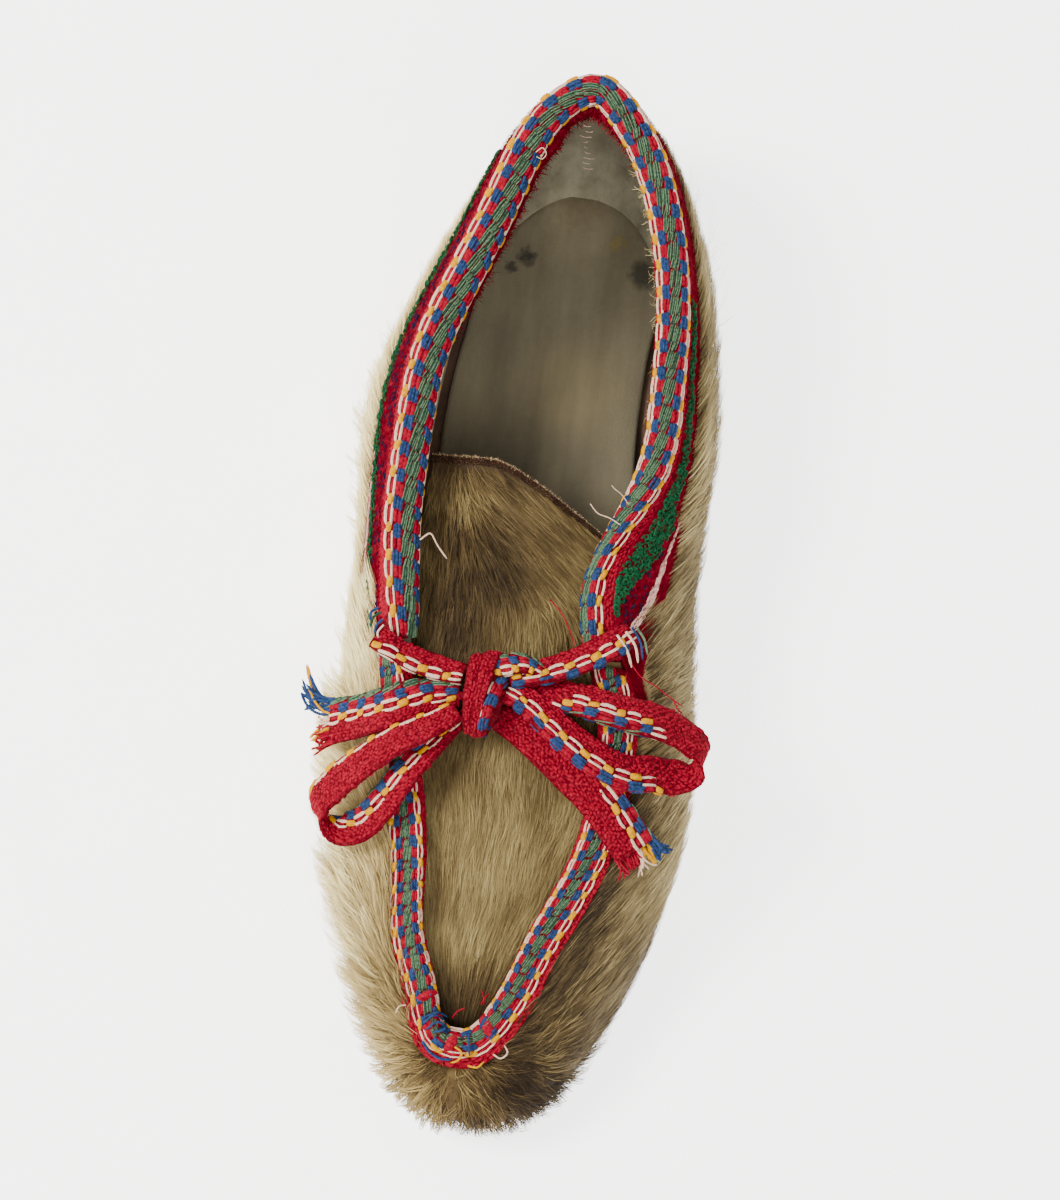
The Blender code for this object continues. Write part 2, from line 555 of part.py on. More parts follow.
def span(start, end):
    """Columns from start to end, on past the last column where the span crosses it."""
    if end < start:
        end += COLUMNS
    return np.arange(start, end + 1) % COLUMNS


def make_cuff(wall, look):
    columns = span(wall.column(LACE_CORNER_OUTER), wall.column(LACE_CORNER_INNER))
    faces = []
    for share, trim_gap in ((0.0, GAP), (1 / 3, 0.0), (2 / 3, 0.0), (1.0, -GAP)):
        faces.append(wall.at(wall.leg + (wall.trim - wall.leg) * share + trim_gap))
    outside = [points + normals * (GAP + FELT_THICK) for points, normals in faces]
    inside = [points + normals * GAP for points, normals in faces[::-1]]
    sections = np.stack(outside + inside, axis=1)[columns]
    add_object("felt_cuff", *loft(sections, False), look)


def make_band(name, wall, columns, inner_leg, look):
    """A woven band folded over the wall's edge, with a rounded crest."""
    edge, edge_normal = wall.at(np.zeros(COLUMNS))
    low, low_normal = wall.at(wall.leg)
    wide = wall.edge_wall[:, None]
    up = wall.up

    def crest(distance, rise):
        return edge + edge_normal * distance + up * rise

    def leg(share, distance):
        share = share[:, None]
        return ((edge + edge_normal * distance) * (1.0 - share)
                + (low + low_normal * distance) * share)

    outside = (wall.leg - GAP) / wall.leg
    inside = np.minimum(inner_leg, wall.leg - GAP) / wall.leg
    far = BAND_GAP + BAND_THICK
    loop = [
        leg(outside, BAND_GAP),
        crest(BAND_GAP, BAND_GAP),
        crest(-wide - BAND_GAP, BAND_GAP),
        leg(inside, -wide - BAND_GAP),
        leg(inside, -wide - far),
        crest(-wide - far, 0.0),
        crest(-wide - BAND_GAP * 0.5, far * CREST_SIDE),
        crest(-wide * 0.5, far * CREST_TOP),
        crest(BAND_GAP * 0.5, far * CREST_SIDE),
        crest(far, 0.0),
        leg(outside, far),
    ]
    add_object(name, *loft(np.stack(loop, axis=1)[columns], False), look)


# Ribbon bow

def make_ribbon(name, route, steps, look):
    """A flat ribbon along a route, with rounded edges and square ends."""
    rows = open_curve(route, steps)
    middle, wide = rows[:, 0:3], rows[:, 6]
    along = unit(np.gradient(middle, axis=0))
    across = rows[:, 3:6]
    across = unit(across - along * np.sum(along * across, axis=1, keepdims=True))
    face = np.cross(along, across)
    turn = (np.arange(RIBBON_SIDES) + 0.5) * 2.0 * math.pi / RIBBON_SIDES
    side = np.sign(np.cos(turn)) * np.abs(np.cos(turn)) ** RIBBON_POWER
    rise = np.sign(np.sin(turn)) * np.abs(np.sin(turn)) ** RIBBON_POWER
    side, rise = side / side.max(), rise / rise.max()
    sections = (middle[:, None]
                + across[:, None] * side[None, :, None] * 0.5 * wide[:, None, None]
                + face[:, None] * rise[None, :, None] * 0.5 * RIBBON_THICK)
    add_object(name, *loft(sections, False), look)


def make_knot(look):
    """The knot between the loops, long across the bars, a rounded block."""
    turn = np.arange(KNOT_SIDES) * 2.0 * math.pi / KNOT_SIDES
    side = np.sign(np.cos(turn)) * np.abs(np.cos(turn)) ** KNOT_POWER
    rise = np.sign(np.sin(turn)) * np.abs(np.sin(turn)) ** KNOT_POWER
    swing = math.radians(KNOT_TURN)
    sections = []
    for angle in np.linspace(0.0, math.pi, KNOT_SECTIONS + 2)[1:-1]:
        size = math.sin(angle) ** KNOT_POWER
        x = side * size * KNOT_HALF_WIDE
        y = np.full(KNOT_SIDES, math.cos(angle) * KNOT_HALF_LONG)
        z = rise * size * KNOT_HALF_HIGH
        turned = np.column_stack((x * math.cos(swing) - y * math.sin(swing),
                                  x * math.sin(swing) + y * math.cos(swing), z))
        sections.append(turned + KNOT_MIDDLE)
    add_object("lace_knot", *loft(np.array(sections), False), look)


def main():
    for thing in list(bpy.data.objects):
        bpy.data.objects.remove(thing, do_unlink=True)
    wall = Wall()
    fur = material("fur", (0.50, 0.40, 0.24), 0.8)
    sole_leather = material("sole leather", (0.06, 0.035, 0.025), 0.6)
    insole_leather = material("insole leather", (0.28, 0.24, 0.17), 0.7)
    tongue_fur = material("tongue fur", (0.38, 0.28, 0.16), 0.8)
    felt = material("red felt", (0.55, 0.02, 0.03), 0.9)
    weave = material("woven band", (0.10, 0.16, 0.20), 0.85)
    ribbon = material("ribbon", (0.50, 0.02, 0.03), 0.85)
    make_sole(wall, sole_leather)
    make_insole(wall, insole_leather)
    make_upper(wall, fur)
    make_tongue(tongue_fur)
    make_cuff(wall, felt)
    outer = wall.column(LACE_CORNER_OUTER)
    inner = wall.column(LACE_CORNER_INNER)
    make_band("collar_band", wall, span(outer, inner), COLLAR_INNER_LEG, weave)
    make_band("throat_band", wall, span(inner + 1, outer - 1), THROAT_INNER_LEG, weave)
    make_ribbon("lace_bar_medial", BAR_MEDIAL, BAR_STEPS, ribbon)
    make_ribbon("lace_bar_lateral", BAR_LATERAL, BAR_STEPS, ribbon)
    make_knot(ribbon)
    make_ribbon("lace_loop_medial", LOOP_MEDIAL, LOOP_STEPS, ribbon)
    make_ribbon("lace_loop_lateral", LOOP_LATERAL, LOOP_STEPS, ribbon)
    make_ribbon("lace_tail_medial", TAIL_MEDIAL, TAIL_STEPS, ribbon)
    make_ribbon("lace_tail_lateral", TAIL_LATERAL, TAIL_STEPS, ribbon)


main()
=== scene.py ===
"""Looks of the low fur slipper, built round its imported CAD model.

Sizes are in millimetres in the frame that the CAD source uses for its tables, and each mesh is
moved by MIDDLE and turned into metres when it is made. The toe points to -Y, the outer side of
the left foot to +X, and up is +Z.
"""

import math

import bpy
import numpy as np
from mathutils import Matrix
from mathutils.kdtree import KDTree


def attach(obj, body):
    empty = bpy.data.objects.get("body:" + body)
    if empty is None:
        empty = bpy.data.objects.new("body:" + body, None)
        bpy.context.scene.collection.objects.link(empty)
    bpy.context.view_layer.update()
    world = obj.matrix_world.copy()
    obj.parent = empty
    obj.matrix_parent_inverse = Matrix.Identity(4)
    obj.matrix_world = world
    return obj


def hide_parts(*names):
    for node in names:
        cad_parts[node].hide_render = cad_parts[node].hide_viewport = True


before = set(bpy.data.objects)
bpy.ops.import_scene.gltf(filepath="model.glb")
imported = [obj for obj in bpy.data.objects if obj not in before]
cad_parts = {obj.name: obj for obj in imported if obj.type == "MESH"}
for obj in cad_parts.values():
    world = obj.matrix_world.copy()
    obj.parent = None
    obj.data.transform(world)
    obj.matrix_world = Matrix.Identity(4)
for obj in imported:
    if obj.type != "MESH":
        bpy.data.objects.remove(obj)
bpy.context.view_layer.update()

MM = 0.001
MIDDLE = np.array([-0.8, -1.8, 0.0])
SEED = 11
rng = np.random.default_rng(SEED)

# Sizes and tables shared with the CAD source
GAP = 0.3
BAND_GAP = 0.4
SOLE_THICK = 3.2
INSOLE_THICK = 2.0
SKIN_THICK = 2.8
FELT_THICK = 1.8
BAND_THICK = 1.4
RIBBON_THICK = 2.0
TOE_SPRING, TOE_SPRING_FROM, TOE_END, TOE_CURVE = 4.5, -92.0, -129.0, 1.8
ARCH_RISE, ARCH_FROM, ARCH_TO = 2.0, -18.0, 56.0
ARCH_OUTER_X, ARCH_WIDE, ARCH_LEAST = 14.0, 44.0, 0.3
HEEL_LIFT, HEEL_LIFT_FROM, HEEL_END = 0.8, 102.0, 114.5
LOW_SHARE = 0.45
EDGE_WALL_TO, SKIN_FROM = 0.25, 0.6
SECTIONS = [
    # sole_x sole_y edge_x edge_y edge_z bulge shoulder drop trim leg edge_wall fur
    (0.5, -127.5, -4.0, -110.5, 26.6, 5.0, 7.0, 0.5, 7.8, 7.4, 2.8, 3.4),
    (10.5, -125.3, 0.2, -109.0, 27.0, 5.0, 8.0, 0.5, 7.8, 7.4, 2.8, 3.4),
    (18.5, -119.0, 4.0, -103.6, 28.8, 4.5, 8.5, 0.3, 7.8, 7.4, 2.8, 3.6),
    (24.6, -110.0, 7.2, -97.0, 30.8, 4.5, 9.5, 0.0, 7.8, 7.4, 2.8, 3.8),
    (30.2, -98.0, 10.4, -88.0, 33.6, 5.5, 10.0, -0.5, 7.8, 7.4, 2.8, 4.2),
    (34.8, -84.0, 15.2, -77.0, 36.8, 7.5, 11.0, -0.5, 7.8, 7.4, 2.8, 4.4),
    (37.4, -68.0, 20.2, -64.0, 40.0, 9.0, 12.0, 0.5, 7.8, 7.4, 2.8, 4.6),
    (38.0, -50.0, 23.0, -47.0, 43.5, 11.0, 12.0, 2.0, 7.8, 7.4, 2.8, 4.8),
    (36.6, -32.0, 22.4, -30.0, 45.8, 13.0, 11.0, 2.5, 7.8, 7.2, 3.2, 5.0),
    (34.6, -16.0, 18.2, -17.0, 47.0, 14.0, 12.0, 2.0, 13.0, 6.0, 4.0, 5.0),
    (32.2, 0.0, 15.4, -2.0, 48.0, 16.0, 12.0, 1.5, 21.0, 5.0, 4.6, 5.2),
    (29.6, 16.0, 19.3, 12.5, 48.3, 19.0, 10.8, 3.0, 21.5, 4.8, 4.4, 5.4),
    (27.4, 32.0, 27.2, 29.6, 48.5, 21.0, 5.8, 7.0, 20.0, 4.8, 4.2, 5.6),
    (26.2, 50.0, 29.0, 50.0, 49.3, 21.0, 4.4, 10.0, 18.0, 4.8, 4.2, 5.4),
    (26.6, 70.0, 28.2, 71.1, 50.5, 16.0, 4.0, 12.0, 17.0, 4.8, 4.2, 4.8),
    (26.0, 87.0, 23.7, 94.1, 53.5, 12.0, 3.4, 14.0, 17.0, 4.8, 4.2, 3.6),
    (20.4, 100.5, 16.6, 110.8, 55.8, 12.0, 3.5, 15.0, 17.0, 4.8, 4.2, 3.0),
    (12.0, 109.6, 8.9, 120.7, 57.4, 14.0, 3.0, 16.0, 17.0, 4.8, 4.2, 2.8),
    (0.8, 113.0, 1.2, 124.6, 58.0, 16.0, 3.0, 16.0, 17.0, 4.8, 4.0, 2.6),
    (-10.0, 109.2, -9.1, 118.4, 57.2, 14.0, 3.0, 16.0, 17.0, 4.8, 4.2, 2.8),
    (-19.0, 99.8, -16.0, 107.0, 55.6, 10.0, 3.5, 15.0, 17.0, 4.8, 4.8, 3.2),
    (-26.4, 86.0, -21.2, 91.0, 53.7, 9.0, 3.8, 14.0, 17.0, 4.8, 5.0, 4.2),
    (-30.8, 69.0, -28.0, 72.3, 51.3, 12.0, 3.4, 12.0, 17.0, 4.8, 5.0, 5.6),
    (-32.6, 50.0, -33.8, 52.4, 49.8, 18.0, 2.6, 11.0, 17.0, 4.8, 5.0, 6.6),
    (-33.0, 32.0, -35.1, 33.1, 48.9, 20.0, 2.0, 11.0, 17.0, 4.8, 5.0, 6.8),
    (-34.0, 12.0, -35.0, 12.0, 48.5, 16.0, 2.2, 11.0, 17.0, 4.8, 5.0, 5.8),
    (-35.4, -6.0, -32.6, -6.1, 48.3, 13.0, 4.2, 9.0, 16.0, 4.8, 4.8, 5.0),
    (-36.6, -22.0, -29.3, -20.0, 47.2, 11.0, 6.0, 5.0, 12.0, 5.6, 4.0, 4.8),
    (-36.9, -40.0, -25.2, -38.0, 45.0, 10.0, 9.0, 1.0, 7.8, 7.2, 3.0, 4.6),
    (-35.8, -58.0, -20.8, -56.0, 42.3, 9.0, 10.0, -0.5, 7.8, 7.4, 2.8, 4.5),
    (-33.0, -76.0, -18.3, -73.0, 38.8, 7.5, 10.0, -0.5, 7.8, 7.4, 2.8, 4.3),
    (-28.6, -92.0, -17.0, -87.0, 34.8, 5.5, 8.5, -0.5, 7.8, 7.4, 2.8, 4.0),
    (-23.8, -105.0, -13.4, -97.0, 31.6, 5.0, 7.5, 0.0, 7.8, 7.4, 2.8, 3.8),
    (-17.6, -115.5, -11.0, -104.5, 29.0, 5.0, 7.0, 0.3, 7.8, 7.4, 2.8, 3.6),
    (-9.0, -123.5, -8.6, -109.2, 27.2, 5.0, 7.0, 0.5, 7.8, 7.4, 2.8, 3.4),
]
LACE_CORNER_OUTER, LACE_CORNER_INNER = 8.9, 26.9
CUFF_START = 7.95           # section where the scene's cuff starts, under the lateral loop
COLLAR_INNER_LEG, THROAT_INNER_LEG = 4.0, 2.6
TONGUE = [
    # y inner_x outer_x edge_z crown thick
    (-109.0, -6.5, -1.0, 19.0, 0.5, 1.8),
    (-100.0, -12.0, 5.0, 22.5, 2.0, 2.2),
    (-88.0, -17.5, 10.5, 27.0, 4.0, 2.6),
    (-74.0, -20.5, 16.5, 31.5, 5.5, 3.0),
    (-58.0, -22.5, 21.5, 35.5, 6.5, 3.2),
    (-38.0, -26.0, 22.5, 38.5, 7.0, 3.2),
    (-18.0, -28.0, 20.0, 39.5, 7.0, 3.2),
    (4.0, -28.5, 19.0, 38.5, 7.0, 3.0),
    (31.0, -28.5, 22.0, 36.5, 7.0, 2.2),
]
TONGUE_TIP, TONGUE_TOP, TONGUE_CORNER = -109.0, 31.0, -11.0
TONGUE_SLANT, TONGUE_SLANT_FROM, TONGUE_ROUND, TONGUE_POWER = 0.58, -12.0, 4.0, 1.7
BAR_MEDIAL = [
    # x y z across_x across_y across_z wide
    (-35.0, -19.5, 50.6, 0.4, -0.9, 0.2, 6.0),
    (-31.5, -21.2, 51.3, 0.4, -0.9, 0.3, 6.6),
    (-27.0, -23.2, 50.7, 0.3, -0.9, 0.3, 7.0),
    (-21.5, -24.6, 50.0, 0.2, -0.9, 0.3, 7.0),
    (-17.3, -25.4, 50.2, 0.2, -0.9, 0.4, 6.6),
    (-12.6, -26.2, 51.2, 0.2, -0.9, 0.4, 5.6),
]
BAR_LATERAL = [
    # x y z across_x across_y across_z wide
    (-2.0, -26.0, 53.0, 0.3, -0.9, 0.3, 5.4),
    (3.0, -24.6, 52.6, 0.3, -0.9, 0.4, 6.4),
    (8.4, -22.4, 52.0, 0.4, -0.9, 0.4, 7.2),
    (13.4, -20.1, 51.8, 0.5, -0.9, 0.4, 7.5),
    (18.2, -17.2, 51.7, 0.6, -0.8, 0.3, 7.5),
    (22.2, -14.2, 51.2, 0.6, -0.8, 0.2, 7.0),
    (26.0, -11.0, 49.2, 0.6, -0.8, 0.1, 6.2),
]
TAIL_MEDIAL = [
    # x y z across_x across_y across_z wide
    (-13.2, -31.2, 49.2, -0.1, -1.0, 0.0, 5.6),
    (-16.7, -31.6, 49.0, -0.1, -1.0, 0.0, 7.0),
    (-20.7, -32.3, 49.0, -0.2, -1.0, 0.0, 9.0),
    (-24.9, -34.0, 49.2, -0.3, -1.0, 0.0, 10.5),
    (-28.8, -35.6, 48.8, -0.2, -1.0, 0.0, 11.0),
    (-33.1, -37.0, 46.2, -0.1, -1.0, 0.0, 11.2),
    (-37.3, -38.0, 42.2, -0.1, -1.0, 0.0, 11.4),
    (-41.3, -38.7, 39.0, -0.1, -1.0, 0.0, 11.5),
    (-43.8, -39.2, 37.2, -0.1, -1.0, 0.0, 11.5),
]
LOOP_MEDIAL = [
    # x y z across_x across_y across_z wide
    (-13.2, -35.9, 53.6, 0.5, -0.7, 0.3, 5.6),
    (-15.8, -37.8, 54.0, 0.5, -0.7, 0.4, 6.6),
    (-19.5, -40.3, 54.2, 0.5, -0.7, 0.5, 7.6),
    (-24.1, -42.8, 53.4, 0.5, -0.7, 0.5, 8.2),
    (-30.6, -47.0, 50.6, 0.5, -0.7, 0.5, 8.8),
    (-36.3, -51.4, 46.6, 0.5, -0.7, 0.5, 9.4),
    (-41.1, -55.5, 42.2, 0.5, -0.7, 0.5, 10.0),
    (-43.9, -59.3, 39.2, 0.5, -0.7, 0.6, 10.0),
    (-42.9, -62.6, 37.8, 0.5, -0.7, 0.6, 9.6),
    (-39.0, -65.0, 38.0, 0.5, -0.7, 0.6, 9.6),
    (-34.1, -64.2, 40.2, 0.5, -0.7, 0.5, 9.8),
    (-28.8, -59.0, 44.4, 0.5, -0.7, 0.4, 9.4),
    (-24.4, -52.2, 48.2, 0.5, -0.7, 0.4, 8.6),
    (-20.8, -47.2, 49.4, 0.5, -0.7, 0.4, 7.4),
    (-17.4, -42.8, 49.4, 0.5, -0.7, 0.3, 6.4),
    (-14.8, -39.4, 49.6, 0.6, -0.7, 0.2, 5.6),
    (-12.6, -37.0, 49.8, 0.6, -0.7, 0.2, 5.0),
]
LOOP_LATERAL = [
    # x y z across_x across_y across_z wide
    (-1.6, -29.4, 50.4, -0.1, -0.9, 0.2, 5.0),
    (2.4, -28.8, 49.9, -0.1, -0.9, 0.3, 6.0),
    (7.8, -28.3, 49.8, -0.1, -0.9, 0.4, 7.4),
    (13.9, -28.6, 50.6, -0.2, -0.9, 0.4, 8.8),
    (21.1, -30.0, 51.7, -0.2, -0.8, 0.5, 10.2),
    (28.5, -31.0, 50.2, -0.2, -0.8, 0.5, 10.5),
    (35.3, -31.6, 47.8, -0.2, -0.8, 0.5, 10.5),
    (41.7, -33.4, 44.8, -0.2, -0.8, 0.6, 10.5),
    (46.0, -36.6, 42.4, -0.2, -0.8, 0.6, 10.5),
    (45.3, -40.6, 41.4, -0.2, -0.8, 0.6, 10.5),
    (40.8, -43.2, 42.6, -0.2, -0.8, 0.5, 10.5),
    (34.4, -43.8, 45.6, -0.2, -0.8, 0.5, 10.2),
    (28.3, -44.8, 48.8, -0.2, -0.8, 0.5, 10.0),
    (21.9, -42.8, 50.8, -0.3, -0.8, 0.4, 9.8),
    (15.5, -39.4, 51.4, -0.4, -0.8, 0.4, 9.2),
    (9.0, -35.0, 52.0, -0.5, -0.8, 0.3, 8.2),
    (3.4, -31.2, 52.4, -0.5, -0.8, 0.2, 7.0),
    (-1.8, -29.0, 52.2, -0.4, -0.9, 0.1, 5.6),
]
TAIL_LATERAL = [
    # x y z across_x across_y across_z wide
    (-3.4, -35.2, 48.6, -0.5, -0.9, 0.0, 6.4),
    (2.3, -37.2, 48.2, -0.5, -0.9, 0.0, 8.6),
    (7.4, -39.8, 47.7, -0.5, -0.9, 0.0, 10.2),
    (12.4, -43.1, 46.9, -0.6, -0.8, 0.0, 10.8),
    (16.6, -46.4, 46.6, -0.6, -0.8, 0.0, 11.0),
    (20.8, -49.6, 46.6, -0.7, -0.7, 0.0, 11.0),
    (25.2, -53.6, 45.8, -0.7, -0.7, 0.0, 11.0),
    (29.1, -57.7, 43.8, -0.7, -0.7, 0.0, 11.0),
    (33.2, -62.2, 41.6, -0.7, -0.7, 0.0, 11.0),
]
KNOT_MIDDLE = np.array([-7.4, -30.6, 52.0])
KNOT_HALF = (4.9, 9.6, 4.7)

# Camera, light and floor values
CAMERA_LENS = 102.0
CAMERA_TURN = 7.0           # degrees round from straight behind the toe
CAMERA_RISE = 78.0          # degrees over the floor
CAMERA_FAR = 850.0
CAMERA_AIM = (0.0, 0.0, 22.0)
SKY_STRENGTH = 0.80
FLOOR_HALF = 1.5            # metres
FLOOR_GLOW = 2.8            # light of the floor's own, for a ground near white


# Small helpers

def unit(vectors):
    """The same vectors, one long."""
    return vectors / np.maximum(np.linalg.norm(vectors, axis=-1, keepdims=True), 1e-9)


def smooth_step(low, high, value):
    """0 at low, 1 at high and eased between. High may be the lesser of the two."""
    share = np.clip((value - low) / (high - low), 0.0, 1.0)
    return share * share * (3.0 - 2.0 * share)


def metres(points):
    """Places of the tables in mm, moved by MIDDLE and turned into metres."""
    return (np.asarray(points, float) - MIDDLE) * MM


class Pile:
    """Points and faces gathered from many small pieces into one mesh."""

    def __init__(self):
        self.points = []
        self.quads = []
        self.triangles = []
        self.quad_looks = []
        self.triangle_looks = []
        self.places = []
        self.count = 0

    def add(self, points, quads=None, triangles=None, look=0, place=None):
        points = np.asarray(points, float).reshape(-1, 3)
        if quads is not None and len(quads):
            quads = np.asarray(quads).reshape(-1, 4)
            self.quads.append(quads + self.count)
            self.quad_looks.append(np.broadcast_to(look, len(quads)).astype(np.int32))
        if triangles is not None and len(triangles):
            triangles = np.asarray(triangles).reshape(-1, 3)
            self.triangles.append(triangles + self.count)
            self.triangle_looks.append(np.broadcast_to(look, len(triangles)).astype(np.int32))
        if place is not None:
            self.places.append(np.asarray(place, float).reshape(-1, 2))
        self.points.append(points)
        self.count += len(points)

    def make(self, name, looks):
        """One mesh object from everything added, in metres, riding on the shoe."""
        quads = np.concatenate(self.quads) if self.quads else np.zeros((0, 4), int)
        triangles = np.concatenate(self.triangles) if self.triangles else np.zeros((0, 3), int)
        points = metres(np.concatenate(self.points))
        corners = np.concatenate((quads.ravel(), triangles.ravel())).astype(np.int32)
        starts = np.concatenate((np.arange(len(quads)) * 4,
                                 len(quads) * 4 + np.arange(len(triangles)) * 3))
        face_looks = np.concatenate(self.quad_looks + self.triangle_looks)
        mesh = bpy.data.meshes.new(name)
        mesh.vertices.add(len(points))
        mesh.vertices.foreach_set("co", points.astype(np.float32).ravel())
        mesh.loops.add(len(corners))
        mesh.loops.foreach_set("vertex_index", corners)
        mesh.polygons.add(len(starts))
        mesh.polygons.foreach_set("loop_start", starts.astype(np.int32))
        mesh.polygons.foreach_set("material_index", face_looks)
        mesh.update(calc_edges=True)
        if self.places:
            layer = mesh.uv_layers.new(name="OFBake")
            places = np.concatenate(self.places)[corners]
            layer.uv.foreach_set("vector", places.astype(np.float32).ravel())
        mesh.shade_smooth()
        for look in looks:
            mesh.materials.append(look)
        thing = bpy.data.objects.new(name, mesh)
        bpy.context.scene.collection.objects.link(thing)
        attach(thing, "root")
        return thing


def grid_quads(rows, columns, close_rows=False, close_columns=False):
    """Faces of a grid of points, rows by columns, optionally joined round either way."""
    row = np.arange(rows if close_rows else rows - 1)[:, None]
    column = np.arange(columns if close_columns else columns - 1)[None, :]
    next_row = (row + 1) % rows
    next_column = (column + 1) % columns
    faces = np.stack(np.broadcast_arrays(row * columns + column, row * columns + next_column,
                                         next_row * columns + next_column,
                                         next_row * columns + column), axis=-1)
    return faces.reshape(-1, 4)


def add_tube(pile, section, look=0, place=None):
    """A closed sleeve through rings of points, with a strip of faces over each end."""
    rows, size = section.shape[:2]
    quads = [grid_quads(rows, size, close_columns=True)]
    step = np.arange(size // 2 - 1)
    cap = np.column_stack((step, step + 1, size - 2 - step, size - 1 - step))
    quads += [cap, cap + (rows - 1) * size]
    pile.add(section, np.concatenate(quads), look=look, place=place)


LAST_CELL = 1.001           # keeps a place just short of the last row, so that a next one is there


class Sheet:
    """A curved surface on a grid, read at any place along and across it."""

    def __init__(self, grid, along, across, outward=None, closed=False):
        self.grid = grid
        self.along = np.asarray(along, float)
        self.across = np.asarray(across, float)
        self.closed = closed
        if closed:
            run = np.roll(grid, -1, axis=0) - np.roll(grid, 1, axis=0)
        else:
            run = np.gradient(grid, axis=0)
        side = np.gradient(grid, axis=1)
        self.normals = unit(np.cross(run, side))
        if outward is not None:
            flip = np.sum(self.normals * outward, axis=-1, keepdims=True) < 0.0
            self.normals = np.where(flip, -self.normals, self.normals)

    def at(self, along, across):
        """Points and normals at places on the sheet."""
        rows, columns = self.grid.shape[:2]
        row = np.interp(along, self.along, np.arange(len(self.along)))
        column = np.interp(across, self.across, np.arange(columns))
        column = np.clip(column, 0, columns - LAST_CELL)
        if not self.closed:
            row = np.clip(row, 0, rows - LAST_CELL)
        low = np.floor(row).astype(int)
        left = np.floor(column).astype(int)
        down = (row - low)[..., None]
        over = (column - left)[..., None]
        low_row = low % rows
        high_row = (low + 1) % rows

        def mix(values):
            near = values[low_row, left] * (1 - over) + values[low_row, left + 1] * over
            far = values[high_row, left] * (1 - over) + values[high_row, left + 1] * over
            return near * (1 - down) + far * down

        return mix(self.grid), unit(mix(self.normals))


# Curves and the sole line

def sole_rise(x, y):
    """Height of the sole's underside: toe spring, arch and heel lift."""
    toe = np.clip((TOE_SPRING_FROM - y) / (TOE_SPRING_FROM - TOE_END), 0.0, None)
    along = np.clip((y - ARCH_FROM) / (ARCH_TO - ARCH_FROM), 0.0, 1.0)
    inner = np.clip((ARCH_OUTER_X - x) / ARCH_WIDE, 0.0, 1.0)
    arch = np.sin(math.pi * along) ** 2 * (ARCH_LEAST + (1.0 - ARCH_LEAST) * inner)
    heel = np.clip((y - HEEL_LIFT_FROM) / (HEEL_END - HEEL_LIFT_FROM), 0.0, None)
    return TOE_SPRING * toe ** TOE_CURVE + ARCH_RISE * arch + HEEL_LIFT * heel ** 2


def closed_spline(knots, period, values, at):
    """Smooth closed curve through values, a cubic spline that repeats after one period."""
    count = len(knots)
    steps = np.diff(np.append(knots, knots[0] + period))
    matrix = np.zeros((count, count))
    right = np.zeros((count, values.shape[1]))
    slopes = (np.roll(values, -1, axis=0) - values) / steps[:, None]
    for i in range(count):
        matrix[i, i - 1] += steps[i - 1]
        matrix[i, i] += 2.0 * (steps[i - 1] + steps[i])
        matrix[i, (i + 1) % count] += steps[i]
        right[i] = 6.0 * (slopes[i] - slopes[i - 1])
    bend = np.linalg.solve(matrix, right)
    place = np.mod(at - knots[0], period) + knots[0]
    cell = np.searchsorted(knots, place, side="right") - 1
    after = (cell + 1) % count
    step = steps[cell][:, None]
    far = (place - knots[cell])[:, None]
    near = step - far
    return ((bend[cell] * near ** 3 + bend[after] * far ** 3) / (6.0 * step)
            + (values[cell] / step - bend[cell] * step / 6.0) * near
            + (values[after] / step - bend[after] * step / 6.0) * far)


def running_length(points):
    """The way along a line of points, from 0 at the first."""
    steps = np.linalg.norm(np.diff(points, axis=0), axis=1)
    return np.concatenate(([0.0], np.cumsum(steps)))


def blend_cell(start, end, start_slope, end_slope, t):
    """Cubic between two values, with the slope at each over the cell, for t from 0 to 1."""
    return (start * (1.0 + 2.0 * t) * (1.0 - t) ** 2 + start_slope * t * (1.0 - t) ** 2
            + end * t ** 2 * (3.0 - 2.0 * t) + end_slope * t ** 2 * (t - 1.0))


def open_curve(rows, steps):
    """Rows evenly spaced along a smooth curve through the rows of a table."""
    rows = np.array(rows)
    knots = running_length(rows[:, 0:3])
    slopes = np.gradient(rows, knots, axis=0)
    at = np.linspace(0.0, knots[-1], steps)
    cell = np.clip(np.searchsorted(knots, at, side="right") - 1, 0, len(rows) - 2)
    step = (knots[cell + 1] - knots[cell])[:, None]
    t = (at - knots[cell])[:, None] / step
    return blend_cell(rows[cell], rows[cell + 1], slopes[cell] * step, slopes[cell + 1] * step, t)


# The wall of the shoe, as in the CAD source but on a finer grid

COLUMNS = 480
LINE_STEPS = 81


